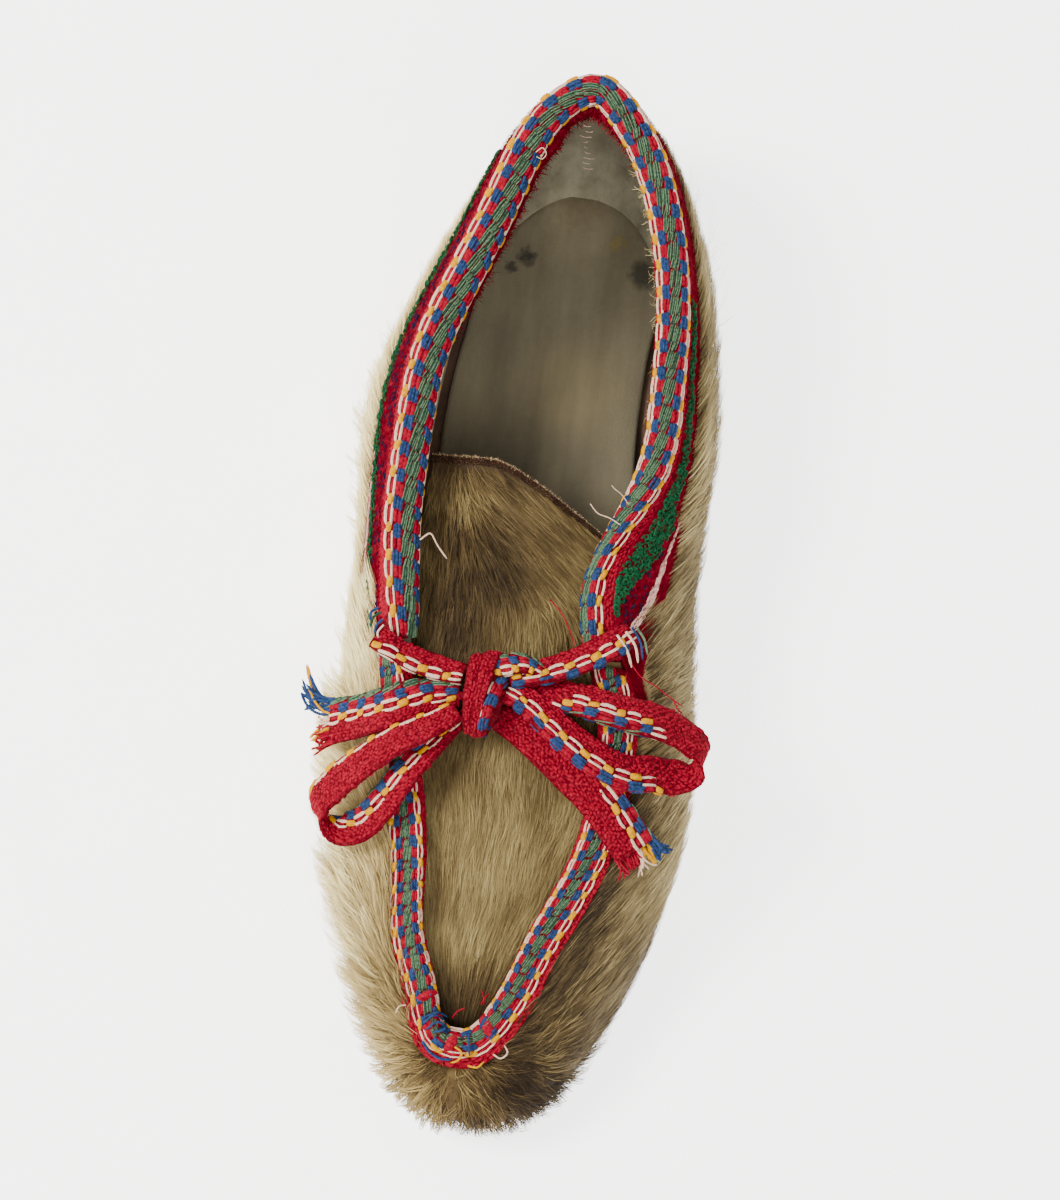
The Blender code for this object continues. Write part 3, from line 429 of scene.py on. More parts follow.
class Wall:
    """The skin's outer face: a closed sheet, round the shoe and down from edge to sole."""

    def __init__(self):
        table = np.array(SECTIONS)
        sole_steps = np.linalg.norm(np.roll(table[:, 0:2], -1, axis=0) - table[:, 0:2], axis=1)
        edge_steps = np.linalg.norm(np.roll(table[:, 2:5], -1, axis=0) - table[:, 2:5], axis=1)
        steps = 0.5 * (sole_steps + edge_steps)
        self.knots = np.concatenate(([0.0], np.cumsum(steps)[:-1]))
        self.period = steps.sum()
        at = np.arange(COLUMNS) * self.period / COLUMNS
        rows = closed_spline(self.knots, self.period, table, at)
        sole_xy = rows[:, 0:2]
        edge = rows[:, 2:5]
        bulge, shoulder, drop, self.trim, self.leg, self.edge_wall, self.fur = rows[:, 5:].T
        along = unit(np.roll(sole_xy, -1, axis=0) - np.roll(sole_xy, 1, axis=0))
        self.out = np.column_stack((along[:, 1], -along[:, 0], np.zeros(COLUMNS)))
        foot_z = sole_rise(sole_xy[:, 0], sole_xy[:, 1]) + SOLE_THICK + GAP
        foot = np.column_stack((sole_xy, foot_z))
        rise = LOW_SHARE * (edge[:, 2] - foot_z)
        up = np.array([0.0, 0.0, 1.0])
        low = foot + self.out * bulge[:, None] + up * rise[:, None]
        high = edge + self.out * shoulder[:, None] - up * drop[:, None]
        t = np.linspace(0.0, 1.0, LINE_STEPS)[None, :, None]
        line = (edge[:, None] * (1 - t) ** 3 + 3 * high[:, None] * t * (1 - t) ** 2
                + 3 * low[:, None] * t ** 2 * (1 - t) + foot[:, None] * t ** 3)
        step = np.linalg.norm(np.diff(line, axis=1), axis=2)
        down = np.concatenate((np.zeros((COLUMNS, 1)), np.cumsum(step, axis=1)), axis=1)
        self.length = down[:, -1]
        even = np.empty_like(line)
        shares = np.linspace(0.0, 1.0, LINE_STEPS)
        for column in range(COLUMNS):
            for axis in range(3):
                even[column, :, axis] = np.interp(shares * self.length[column], down[column],
                                                  line[column, :, axis])
        self.points = even
        self.sheet = Sheet(even, np.arange(COLUMNS + 1), shares, closed=True)
        if np.sum(self.sheet.normals[:, -1] * self.out) < 0.0:
            self.sheet.normals = -self.sheet.normals
        self.up = unit(even[:, 0] - even[:, 1])

    def value(self, values, column):
        """A per-column value at fractional columns."""
        low = np.floor(column).astype(int)
        share = column - low
        return values[low % COLUMNS] * (1 - share) + values[(low + 1) % COLUMNS] * share

    def at(self, column, distance):
        """Points and normals of the skin at distances down from the edge."""
        share = np.clip(distance / self.value(self.length, column), 0.0, 1.0)
        return self.sheet.at(np.mod(column, COLUMNS), share)

    def thickness(self, column, distance):
        """How thick the skin is at distances down from the edge."""
        share = distance / self.value(self.length, column)
        thin = np.interp(share, (EDGE_WALL_TO, SKIN_FROM), (0.0, 1.0))
        at_edge = self.value(self.edge_wall, column)
        return at_edge + (SKIN_THICK - at_edge) * thin

    def column(self, section):
        """The fractional column at a place in the table of sections, such as 8.5."""
        whole = int(section)
        ends = np.append(self.knots, self.period)
        place = ends[whole] + (section - whole) * (ends[whole + 1] - ends[whole])
        return place / self.period * COLUMNS


wall = Wall()
every = np.arange(COLUMNS)
outer_corner = wall.column(LACE_CORNER_OUTER)
inner_corner = wall.column(LACE_CORNER_INNER)
CUFF_FROM = wall.column(CUFF_START)
UNDER_CUFF = 8.0            # columns by each corner where hair starts under the cuff's end
HAIR_OVER_TRIM = 0.6        # how far above the cuff's lower edge the hair starts
HAIR_OVER_LEG = 1.4         # how far up under the throat band it starts
HAIR_BY_CORNER = 3.2        # how far below the band it starts beside the outer corner
over_cuff = (every >= outer_corner + UNDER_CUFF) & (every <= inner_corner - UNDER_CUFF)
CLIMB = [
    # section, share of the cuff that the fur hides
    (9.3, 0.0), (10.0, 0.10), (10.35, 0.15), (10.83, 0.22), (11.2, 0.48), (11.5, 0.58),
    (12.0, 0.62), (16.5, 0.58), (18.0, 0.26), (20.0, 0.10), (24.0, 0.14), (25.5, 0.0),
]
climb = np.interp(every, [wall.column(place) for place, _ in CLIMB], [share for _, share in CLIMB])
FUR_FROM = np.where(over_cuff, wall.trim - HAIR_OVER_TRIM - climb * (wall.trim - wall.leg),
                    wall.leg - HAIR_OVER_LEG)
by_corner = (every >= CUFF_FROM) & (every < outer_corner + UNDER_CUFF)
FUR_FROM = np.where(by_corner, wall.leg + HAIR_BY_CORNER, FUR_FROM)


# Materials

def shade(name, colour, roughness=0.8, sheen=0.0, specular=0.3):
    """A Principled material. Returns the material, its nodes, links and shader."""
    made = bpy.data.materials.new(name)
    made.use_nodes = True
    nodes = made.node_tree.nodes
    shader = nodes["Principled BSDF"]
    shader.inputs["Base Color"].default_value = (*colour, 1.0)
    shader.inputs["Roughness"].default_value = roughness
    shader.inputs["Specular IOR Level"].default_value = specular
    shader.inputs["Sheen Weight"].default_value = sheen
    shader.inputs["Sheen Roughness"].default_value = 0.5
    return made, nodes, made.node_tree.links, shader


def linear(red, green, blue):
    """A colour given on the 0 to 255 screen scale, as the shader wants it."""
    values = []
    for value in (red, green, blue):
        value = value / 255.0
        values.append(value / 12.92 if value <= 0.04045 else ((value + 0.055) / 1.055) ** 2.4)
    return tuple(values)


def object_noise(nodes, links, scale, detail=4.0, stretch=(1.0, 1.0, 1.0), rough=0.55):
    """A noise texture in the object's own coordinates. Scale is in cycles per metre."""
    place = nodes.new("ShaderNodeTexCoord")
    mapping = nodes.new("ShaderNodeMapping")
    mapping.inputs["Scale"].default_value = stretch
    noise = nodes.new("ShaderNodeTexNoise")
    noise.inputs["Scale"].default_value = scale
    noise.inputs["Detail"].default_value = detail
    noise.inputs["Roughness"].default_value = rough
    links.new(place.outputs["Object"], mapping.inputs["Vector"])
    links.new(mapping.outputs["Vector"], noise.inputs["Vector"])
    return noise


def ramp(nodes, links, source, stops):
    """A colour ramp fed by source. stops: (place, colour) pairs."""
    made = nodes.new("ShaderNodeValToRGB")
    while len(made.color_ramp.elements) > 1:
        made.color_ramp.elements.remove(made.color_ramp.elements[-1])
    for i, (place, colour) in enumerate(stops):
        if i == 0:
            element = made.color_ramp.elements[0]
            element.position = place
        else:
            element = made.color_ramp.elements.new(place)
        element.color = (*colour, 1.0)
    links.new(source, made.inputs["Fac"])
    return made


def multiply(nodes, links, first, second):
    """The product of two colours."""
    mix = nodes.new("ShaderNodeMix")
    mix.data_type = "RGBA"
    mix.blend_type = "MULTIPLY"
    mix.inputs["Factor"].default_value = 1.0
    links.new(first, mix.inputs["A"])
    links.new(second, mix.inputs["B"])
    return mix.outputs["Result"]


def screen_stops(*rows):
    """Ramp stops from rows of place, red, green and blue on the screen scale."""
    return [(place, linear(*colour)) for place, *colour in rows]


def bump(nodes, links, shader, source, strength, distance):
    """Fine relief in the shading. Distance is in metres."""
    made = nodes.new("ShaderNodeBump")
    made.inputs["Strength"].default_value = strength
    made.inputs["Distance"].default_value = distance
    links.new(source, made.inputs["Height"])
    links.new(made.outputs["Normal"], shader.inputs["Normal"])


YARN_BUMP, YARN_RELIEF = 0.7, 0.0004            # strength, and distance in metres
LEATHER_BUMP, LEATHER_RELIEF = 0.5, 0.0005


def yarn(name, colour, spread=0.25, scale=1400.0, roughness=0.85, sheen=0.35, specular=0.15):
    """Matt spun yarn: one colour broken by fine fibres."""
    made, nodes, links, shader = shade(name, colour, roughness, sheen, specular)
    shader.inputs["Sheen Tint"].default_value = (*[min(1.0, c * 1.5 + 0.1) for c in colour], 1.0)
    noise = object_noise(nodes, links, scale, 3.0)
    dark = tuple(c * (1.0 - spread * 1.6) for c in colour)
    light = tuple(min(1.0, c * (1.0 + spread) + 0.01) for c in colour)
    tint = ramp(nodes, links, noise.outputs["Fac"], [(0.3, dark), (0.5, colour), (0.72, light)])
    links.new(tint.outputs["Color"], shader.inputs["Base Color"])
    bump(nodes, links, shader, noise.outputs["Fac"], YARN_BUMP, YARN_RELIEF)
    return made


WHITE = yarn("yarn_white", linear(206, 172, 147), 0.22, sheen=0.05)
YELLOW = yarn("yarn_yellow", linear(194, 134, 2), 0.2, sheen=0.0, specular=0.0)
BLUE = yarn("yarn_blue", linear(34, 55, 92), 0.4, sheen=0.05, specular=0.06)
RED = yarn("yarn_red", linear(136, 8, 32), 0.3, sheen=0.04, specular=0.05)
DARK_RED = yarn("yarn_dark_red", linear(92, 3, 18), 0.3, sheen=0.03, specular=0.04)
GREEN = yarn("yarn_green", linear(86, 110, 82), 0.4, 1900.0, sheen=0.03, specular=0.06)
DARK_GREEN = yarn("yarn_dark_green", linear(38, 64, 50), 0.4, 1900.0, sheen=0.03, specular=0.06)
BAND_LOOKS = [WHITE, YELLOW, BLUE, RED, DARK_RED, GREEN, DARK_GREEN]
W, Y, B, R, D, G, N = range(7)      # places in BAND_LOOKS


# Yarn floats

# Each ring of a float: its place along, its share of the width and of the height
FINE_RINGS = np.array([(-1.0, 0.55, 0.0), (-0.72, 0.94, 0.85), (0.0, 1.0, 1.0), (0.72, 0.94, 0.85),
                       (1.0, 0.55, 0.0)])
PLAIN_RINGS = np.array([(-1.0, 0.6, 0.0), (0.0, 1.0, 1.0), (1.0, 0.6, 0.0)])
SIDE_PLACE = np.array([-1.0, -0.55, 0.55, 1.0])
SIDE_HIGH = np.array([0.0, 0.92, 0.92, 0.0])
FLOAT_SINK = 0.16           # how far a float's rim lies under the surface
PLAIN_LOW = 0.5             # a float lower than this is made of fewer rings


def add_floats(pile, sheet, rows, lift=0.0):
    """Small raised stitches on a sheet. rows: along, across, long, wide, high, bow, slant, look."""
    rows = np.array(rows, float).reshape(-1, 8)
    low = (rows[:, 4] < PLAIN_LOW) & (np.abs(rows[:, 5]) < 0.01)
    for part, rings in ((rows[~low], FINE_RINGS), (rows[low], PLAIN_RINGS)):
        if len(part):
            add_ringed_floats(pile, sheet, part, rings, lift)


def add_ringed_floats(pile, sheet, rows, rings, lift):
    """Each float is a small arched patch of rings, four points across."""
    ring_place, ring_wide, ring_high = rings.T
    along, across, long, wide, high, bow, slant = rows[:, :7].T
    looks = rows[:, 7].astype(int)
    a = ring_place[None, :, None] * 0.5 * long[:, None, None]
    b = SIDE_PLACE[None, None, :] * ring_wide[None, :, None] * 0.5 * wide[:, None, None]
    a, b = np.broadcast_arrays(a, b)
    t = across[:, None, None] + b + bow[:, None, None] * (1.0 - ring_place ** 2)[None, :, None]
    t = t + slant[:, None, None] * ring_place[None, :, None] * 0.5
    s = along[:, None, None] + a
    points, normals = sheet.at(s, t)
    rise = ring_high[None, :, None] * SIDE_HIGH[None, None, :] * high[:, None, None] - FLOAT_SINK
    points = points + normals * (rise + lift)[..., None]
    count = len(rows)
    size = len(ring_place) * len(SIDE_PLACE)
    faces = grid_quads(len(ring_place), len(SIDE_PLACE))
    quads = faces[None] + (np.arange(count) * size)[:, None, None]
    pile.add(points, quads, look=np.repeat(looks, len(faces)))


def half_pattern(at, pitch, stout=1.0):
    """One repeat of half the pattern, from the middle of the green outwards.

    Each float: along, across, long, wide, high, bow, slant, yarn.
    """
    half = at + 0.5 * pitch
    rows = []
    for middle, place, strands, long in ((half, 0.86, 5, 0.66), (at + 0.3, 0.56, 3, 0.36)):
        for k in range(strands):
            aside = k - 0.5 * (strands - 1)
            rows.append((middle, place + 0.31 * aside, long * pitch, 0.40, 0.60, 0.0, 0.8,
                         (G, N)[k % 2]))
    for k in (-1, 0, 1):
        rows.append((at + 0.1 * k, 2.75 + 0.74 * k, 0.54 * pitch, 0.92, 0.68, 0.0, 0.2, B))
    for place in (2.15, 3.3):
        rows.append((half, place, 0.50 * pitch, 1.3, 0.58, 0.0, 0.0, R))
    long = 0.84 - 0.22 * (stout - 1.0)
    rows += [
        (at, 1.55, 0.24 * pitch, 0.6, 0.42, 0.0, 0.0, R),
        (at, 5.0, 0.44 * pitch, 1.75 + 0.3 * (stout - 1.0), 0.80, 0.0, 0.45, Y),
        (half, 4.15, long * pitch, 0.62 * stout, 0.58, -0.08, 0.12, W),
        (half, 5.65, long * pitch, 0.58 * stout, 0.56, 0.38, 0.12, W),
        (half, 4.92, 0.56 * pitch, 1.0, 0.36, 0.0, 0.0, R),
    ]
    return rows


PATTERN_REACH = 6.4         # half the width of the pattern at size 1


# How far floats lie out of line: along, across, in share of their size, and in slant
WOVEN = (0.11, 0.09, 0.10, 0.08)
RUFFLED = (0.16, 0.12, 0.18, 0.22)


def uneven(rows, spread):
    """The same floats, each a little out of line, as soft wool in hand weaving lies."""
    rows = np.array(rows, float).reshape(-1, 8)
    count = len(rows)
    along, across, size, slant = spread
    rows[:, 0] += rng.normal(size=count) * along
    rows[:, 1] += rng.normal(size=count) * across
    rows[:, 2:5] *= 1.0 + size * rng.normal(size=(count, 3)).clip(-2.0, 2.0)
    rows[:, 6] += rng.normal(size=count) * slant
    return rows


# Woven bands along the collar and the throat

BAND_STEP = 0.25            # step of the band's grid across it
CREST_POINT = 4             # place of the crest among the nine points that shape the fold
CREST_SIDE, CREST_TOP = 0.8, 1.15   # height beside the crest and on it, shares of gap and band
FOLD_STEPS = 97
BASE_SINK = 0.32            # how far the ground weave lies under the floats
BASE_COLUMNS = 23
MARGIN_STEP, MARGIN_ROWS, MARGIN_APART = 1.25, 14, 0.8


def band_sheet(start, end, inner_leg):
    """The outer face of a folded band: along its crest, and across from inside to outside."""
    columns = np.arange(math.ceil(start), math.floor(end) + 1)
    columns = np.concatenate(([start], columns, [end]))
    edge, edge_normal = wall.at(columns, np.zeros(len(columns)))
    leg_long = wall.value(wall.leg, columns)
    low, low_normal = wall.at(columns, leg_long)
    wide = wall.value(wall.edge_wall, columns)[:, None]
    up = unit(np.stack([wall.value(wall.up[:, axis], columns) for axis in range(3)], axis=1))
    far = BAND_GAP + BAND_THICK

    def crest(distance, rise):
        return edge + edge_normal * distance + up * rise

    def leg(share, distance):
        share = share[:, None]
        return ((edge + edge_normal * distance) * (1.0 - share)
                + (low + low_normal * distance) * share)

    outside = (leg_long - GAP) / leg_long
    inside = np.minimum(inner_leg, leg_long - GAP) / leg_long
    line = np.stack([
        leg(inside, -wide - far),
        leg(inside * 0.5, -wide - far),
        crest(-wide - far, 0.0),
        crest(-wide - BAND_GAP * 0.5, far * CREST_SIDE),
        crest(-wide * 0.5, far * CREST_TOP),
        crest(BAND_GAP * 0.5, far * CREST_SIDE),
        crest(far, 0.0),
        leg(outside * 0.5, far),
        leg(outside, far),
    ], axis=1)
    fine = np.linspace(0.0, line.shape[1] - 1.0, FOLD_STEPS)
    cell = np.clip(fine.astype(int), 0, line.shape[1] - 2)
    t = (fine - cell)[None, :, None]
    slopes = np.gradient(line, axis=1)
    curve = blend_cell(line[:, cell], line[:, cell + 1], slopes[:, cell], slopes[:, cell + 1], t)
    step = np.linalg.norm(np.diff(curve, axis=1), axis=2)
    arcs = np.concatenate((np.zeros((len(curve), 1)), np.cumsum(step, axis=1)), axis=1)
    arcs = arcs - arcs[:, [np.searchsorted(fine, CREST_POINT)]]
    low_end, high_end = arcs[:, 0].max(), arcs[:, -1].max()
    across = BAND_STEP * np.arange(math.ceil(low_end / BAND_STEP),
                                   math.floor(high_end / BAND_STEP) + 1)
    grid = np.empty((len(columns), len(across), 3))
    for i in range(len(columns)):
        for axis in range(3):
            grid[i, :, axis] = np.interp(across, arcs[i], curve[i, :, axis])
    spine = grid[:, np.argmin(np.abs(across))]
    centre = (edge - edge_normal * wide * 0.5)[:, None]
    outward = grid - centre + up[:, None] * 2.0
    return Sheet(grid, running_length(spine), across, outward)


def band_base(pile, sheet, look):
    """The ground weave under the floats, a closed sleeve BAND_THICK thick."""
    outer = sheet.grid - sheet.normals * BASE_SINK
    inner = sheet.grid - sheet.normals * (BAND_THICK - 0.1)
    columns = np.linspace(0, outer.shape[1] - 1, BASE_COLUMNS).astype(int)
    add_tube(pile, np.concatenate((outer[:, columns], inner[:, columns[::-1]]), axis=1), look)


def weave_band(name, node, start, end, inner_leg, repeat, lay, stitches=()):
    """A patterned band with red margins.

    lay: (share along, how far out the pattern's middle lies, how far it leans for each mm out,
    its size). stitches: (from the lowest y on, and then a float's other values).
    """
    sheet = band_sheet(start, end, inner_leg)
    pile = Pile()
    band_base(pile, sheet, D)
    total = sheet.along[-1]
    repeats = round(total / repeat)
    pitch = total / repeats
    lay = np.array(lay)
    rows = []
    for k in range(repeats):
        for side in (-1, 1):
            for at, across, long, wide, high, bow, slant, look in half_pattern(
                    (k + 0.25) * pitch, pitch):
                rows.append((at, side * across, long, wide, high, side * bow,
                             slant if look in (G, N) else side * slant, look))
    rows = uneven(rows, WOVEN)
    size = np.interp(rows[:, 0] / total, lay[:, 0], lay[:, 3])
    chain = (rows[:, 7] == W) | (rows[:, 7] == Y)
    rows[:, 1] *= size
    rows[:, 3] *= np.where(chain, 0.5 + 0.5 * size, size)
    rows[:, 5] *= size
    rows[:, 6] *= size
    margin = []
    for k in range(int(total / MARGIN_STEP)):
        at = k * MARGIN_STEP
        reach = PATTERN_REACH * np.interp(at / total, lay[:, 0], lay[:, 3])
        for step in range(MARGIN_ROWS):
            for side in (-1, 1):
                margin.append((at + 0.62 * (step % 2), side * (reach + 0.2 + MARGIN_APART * step),
                               1.35, 0.9, 0.38, 0, 0.1, R))
    rows = np.concatenate((rows, uneven(margin, RUFFLED)))
    low, high = sheet.across[0], sheet.across[-1]
    share = rows[:, 0] / total
    rows[:, 0] += rows[:, 1] * np.interp(share, lay[:, 0], lay[:, 2])
    rows[:, 1] += np.interp(share, lay[:, 0], lay[:, 1])
    keep = (rows[:, 1] > low + 0.3) & (rows[:, 1] < high - 0.2)
    keep &= (rows[:, 0] > 0.6) & (rows[:, 0] < total - 0.6)
    add_floats(pile, sheet, rows[keep], -0.1)
    if len(stitches):
        spine = sheet.grid[:, np.argmin(np.abs(sheet.across))]
        tip = sheet.along[np.argmin(spine[:, 1])]
        add_floats(pile, sheet, [(tip + row[0], *row[1:]) for row in stitches], 0.25)
    thing = pile.make(name, BAND_LOOKS)
    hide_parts(node)
    return sheet


# Ribbons

def ribbon_line(route, step):
    """A ribbon's middle line, width, three directions and way along, at even steps."""
    rows = np.array(route)
    rows = open_curve(rows, max(12, int(running_length(rows[:, 0:3])[-1] / step)))
    middle, wide = rows[:, 0:3], rows[:, 6]
    along = unit(np.gradient(middle, axis=0))
    across = rows[:, 3:6]
    across = unit(across - along * np.sum(along * across, axis=1, keepdims=True))
    face = np.cross(along, across)
    return middle, wide, along, across, face, running_length(middle)


RIBBON_ACROSS = 15
RIBBON_STEP = 0.4
RIBBON_SIZE = 1.08          # size of the pattern on the lace beside the collar band's
RIBBON_STOUT = 1.45         # how much thicker the lace's white yarns are
RIBBON_BUNCH = 0.55         # how much thicker the ribbon gets where it is squeezed narrow
PEBBLE_HIGH, PEBBLE_LONG = 0.14, 1.25       # the ground weave's own small waves
PLAIN_STEP, PLAIN_ROWS, PLAIN_APART = 1.15, 12, 0.82
LEAST_SQUEEZE = 0.2         # least share of the full width that the pattern's size follows


def ribbon_strip(pile, route, green_side, pitch, shifts, full=11.0):
    """A folded woven band as a soft flat ribbon, patterned on both faces by its green edge.

    shifts: how far the pattern is rolled off over that edge, on the first and second face. Each
    is one length, or (share along, length) pairs.
    """
    middle, wide, _, across, face, run = ribbon_line(route, RIBBON_STEP)
    share = np.linspace(-1.0, 1.0, RIBBON_ACROSS)
    share = np.sin(share * math.pi / 2) * 0.35 + share * 0.65
    thick = RIBBON_THICK * (1.0 + RIBBON_BUNCH * np.clip(1.0 - wide / full, 0.0, 1.0))
    profile = (1.0 - np.abs(share) ** 3.2) ** 0.5
    sheets = []
    for side in (1.0, -1.0):
        rise = side * 0.5 * thick[:, None] * (0.16 + 0.84 * profile[None, :])
        aside = share[None, :] * 0.5 * wide[:, None]
        grid = (middle[:, None] + across[:, None] * aside[..., None]
                + face[:, None] * rise[..., None])
        sheets.append(Sheet(grid, run, share,
                            outward=np.broadcast_to(face[:, None] * side, grid.shape)))
    turn = math.pi * (np.arange(RIBBON_ACROSS)[None, :] % 2)
    wave = np.sin(2 * math.pi * run[:, None] / PEBBLE_LONG + turn) * PEBBLE_HIGH * 0.5
    wave = (wave * profile[None, :])[..., None]
    front, back = (sheet.grid + sheet.normals * wave for sheet in sheets)
    add_tube(pile, np.concatenate((front, back[:, ::-1]), axis=1), D)
    total = run[-1]
    repeats = max(1, round(total / pitch))
    real = total / repeats
    for sheet, shift in zip(sheets, shifts):
        rows = []
        for k in range(-1, repeats + 1):
            rows += half_pattern((k + 0.3) * real, real, RIBBON_STOUT)
        rows = uneven(rows, WOVEN)
        rows[:, [1, 3, 5, 6]] *= RIBBON_SIZE
        plain = []
        for k in range(int(total / PLAIN_STEP)):
            for number in range(PLAIN_ROWS):
                plain.append(((k + 0.5 * (number % 2)) * PLAIN_STEP,
                              PATTERN_REACH * RIBBON_SIZE + 0.1 + PLAIN_APART * number, 1.3, 0.9,
                              0.46, 0, 0.1, R))
        rows = np.concatenate((rows, uneven(plain, RUFFLED)))
        local = np.interp(rows[:, 0], run, wide)
        squeeze = np.sqrt(np.clip(local / full, LEAST_SQUEEZE, 1.0))
        if np.ndim(shift):
            shift = np.interp(rows[:, 0] / total, *np.transpose(shift))
        from_edge = (rows[:, 1] - shift) * squeeze
        keep = (from_edge > 0.15) & (from_edge < local - 0.35)
        keep &= (rows[:, 0] > 0.5) & (rows[:, 0] < total - 0.5)
        rows[:, 1] = green_side * (1.0 - 2.0 * from_edge / local)
        rows[:, 3] *= squeeze * 2.0 / local
        rows[:, 5] *= -green_side * squeeze * 2.0 / local
        rows[:, 6] *= -green_side * squeeze * 2.0 / local
        add_floats(pile, sheet, rows[keep])
    return middle


# Fur

HAIR_POINTS = 4
HAIR_RISE = (0.0, 0.55, 0.88, 1.0)      # how high each point of a hair stands
LOCK_PULL = np.array([0.0, 0.25, 0.7, 1.0])     # how far each point leans to its lock
LOCK_APART = 0.15           # share of the roots' distance that the hairs of a lock keep
HAIRS_PER_LOCK = 8
TIP_WOBBLE = 0.3
GROUND = 0.4                # no hair of the upper goes lower
FOOT_OVER = 2.4             # how far past the wall's foot a hair may reach
STUBBLE = (0.0, 0.4, 0.75, 1.0)         # places of the points along a short straight fibre


OUTER_HUE_FROM, OUTER_HUE_TO = 0.004, 0.030     # metres across, where the hue turns


def fur_look(name, stops, roots=0.45, outer_stops=None, specular=0.10):
    """Hair: UV v picks the tone, UV u runs from root to tip. The outer side may differ in hue."""
    made, nodes, links, shader = shade(name, (0.5, 0.4, 0.25), 0.62, 0.0, specular)
    place = nodes.new("ShaderNodeUVMap")
    place.uv_map = "OFBake"
    split = nodes.new("ShaderNodeSeparateXYZ")
    links.new(place.outputs["UV"], split.inputs["Vector"])
    tone = ramp(nodes, links, split.outputs["Y"], stops).outputs["Color"]
    if outer_stops:
        outer = ramp(nodes, links, split.outputs["Y"], outer_stops).outputs["Color"]
        where = nodes.new("ShaderNodeTexCoord")
        across = nodes.new("ShaderNodeSeparateXYZ")
        links.new(where.outputs["Object"], across.inputs["Vector"])
        share = nodes.new("ShaderNodeMapRange")
        share.inputs["From Min"].default_value = OUTER_HUE_FROM
        share.inputs["From Max"].default_value = OUTER_HUE_TO
        links.new(across.outputs["X"], share.inputs["Value"])
        blend = nodes.new("ShaderNodeMix")
        blend.data_type = "RGBA"
        links.new(share.outputs["Result"], blend.inputs["Factor"])
        links.new(tone, blend.inputs["A"])
        links.new(outer, blend.inputs["B"])
        tone = blend.outputs["Result"]
    along = ramp(nodes, links, split.outputs["X"],
                 [(0.0, (roots, roots * 0.94, roots * 0.88)), (0.45, (0.86, 0.84, 0.8)),
                  (0.8, (1.0, 1.0, 1.0)), (1.0, (1.0, 0.98, 0.94))])
    tint = multiply(nodes, links, tone, along.outputs["Color"])
    links.new(tint, shader.inputs["Base Color"])
    return made


FUR = fur_look(
    "fur",
    screen_stops((0.0, 44, 32, 20), (0.25, 100, 80, 48), (0.5, 158, 134, 84),
                 (0.75, 208, 184, 124), (1.0, 255, 241, 180)),
    outer_stops=screen_stops((0.0, 44, 34, 23), (0.25, 104, 87, 57), (0.5, 168, 149, 101),
                             (0.75, 214, 196, 144), (1.0, 246, 234, 184)))
TONGUE_FUR = fur_look(
    "tongue_fur",
    screen_stops((0.0, 44, 33, 21), (0.25, 102, 84, 53), (0.5, 160, 141, 92),
                 (0.75, 206, 188, 134), (1.0, 240, 228, 184)), 0.68)
RED_FUZZ = fur_look(
    "red_fuzz", screen_stops((0.0, 62, 2, 14), (0.5, 108, 4, 26), (1.0, 160, 30, 46)), 0.8,
    specular=0.0)
RAW_EDGE = fur_look(
    "raw_edge", screen_stops((0.0, 34, 18, 14), (0.5, 84, 54, 38), (1.0, 206, 180, 140)), 0.7)

PIECE_LIMIT = 190000        # most triangles in a piece of hair
LONG_TAPER = np.array([0.8, 1.0, 0.7])      # share of the width at each point but the tip
SHORT_TAPER = np.array([1.0, 0.7])
TONE_EDGE = 0.004           # keeps a tone off the ramp's very ends


def hair_side(lines, normal, tilt=0.0):
    """Which way each hair's strip is wide: across the hair and along the skin."""
    return unit(np.cross(unit(lines[:, 2] - lines[:, 0]), normal) + tilt)


def hair_mesh(name, lines, side, wide, tone, look, short=False):
    """Thin strips along lines (n, HAIR_POINTS, 3), tapering to a point, in pieces.

    short: hairs that show little, made with one point fewer.
    """
    if short:
        lines = lines[:, [0, 2, 3]]
    count, steps = lines.shape[:2]
    chunk = PIECE_LIMIT // ((steps - 2) * 2 + 1)
    taper = SHORT_TAPER if short else LONG_TAPER
    for first in range(0, count, chunk):
        part = slice(first, min(count, first + chunk))
        centre = lines[part]
        reach = side[part][:, None, :] * (wide[part][:, None] * 0.5 * taper[None, :])[..., None]
        left = centre[:, :-1] - reach
        right = centre[:, :-1] + reach
        pairs = np.stack((left, right), axis=2).reshape(len(centre), -1, 3)
        points = np.concatenate((pairs, centre[:, -1:]), axis=1)
        size = points.shape[1]
        base = (np.arange(len(centre)) * size)[:, None]
        quads = []
        for k in range(steps - 2):
            quads.append(np.stack((base + 2 * k, base + 2 * k + 1, base + 2 * k + 3,
                                   base + 2 * k + 2), axis=-1))
        quads = np.concatenate(quads, axis=1).reshape(-1, 4)
        tips = np.stack((base + size - 3, base + size - 2, base + size - 1), axis=-1)
        u = np.append(np.repeat(np.arange(steps - 1) / (steps - 1), 2), 1.0)
        v = np.clip(tone[part], TONE_EDGE, 1.0 - TONE_EDGE)
        place = np.stack(np.broadcast_arrays(u[None, :], v[:, None]), axis=-1)
        pile = Pile()
        pile.add(points, quads, tips, place=place)
        thing = pile.make(f"{name}_{first // chunk}" if count > chunk else name, [look])


def waves(points, seed, size):
    """Smooth noise from -1 to 1 over space: a few crossed sine waves of one size in mm."""
    local = np.random.default_rng(seed)
    total = np.zeros(points.shape[:-1])
    for _ in range(7):
        way = unit(local.normal(size=3))
        length = size * local.uniform(0.7, 1.5)
        total += np.sin(points @ way * 2.0 * math.pi / length + local.uniform(0.0, 6.28))
    return total / 3.2


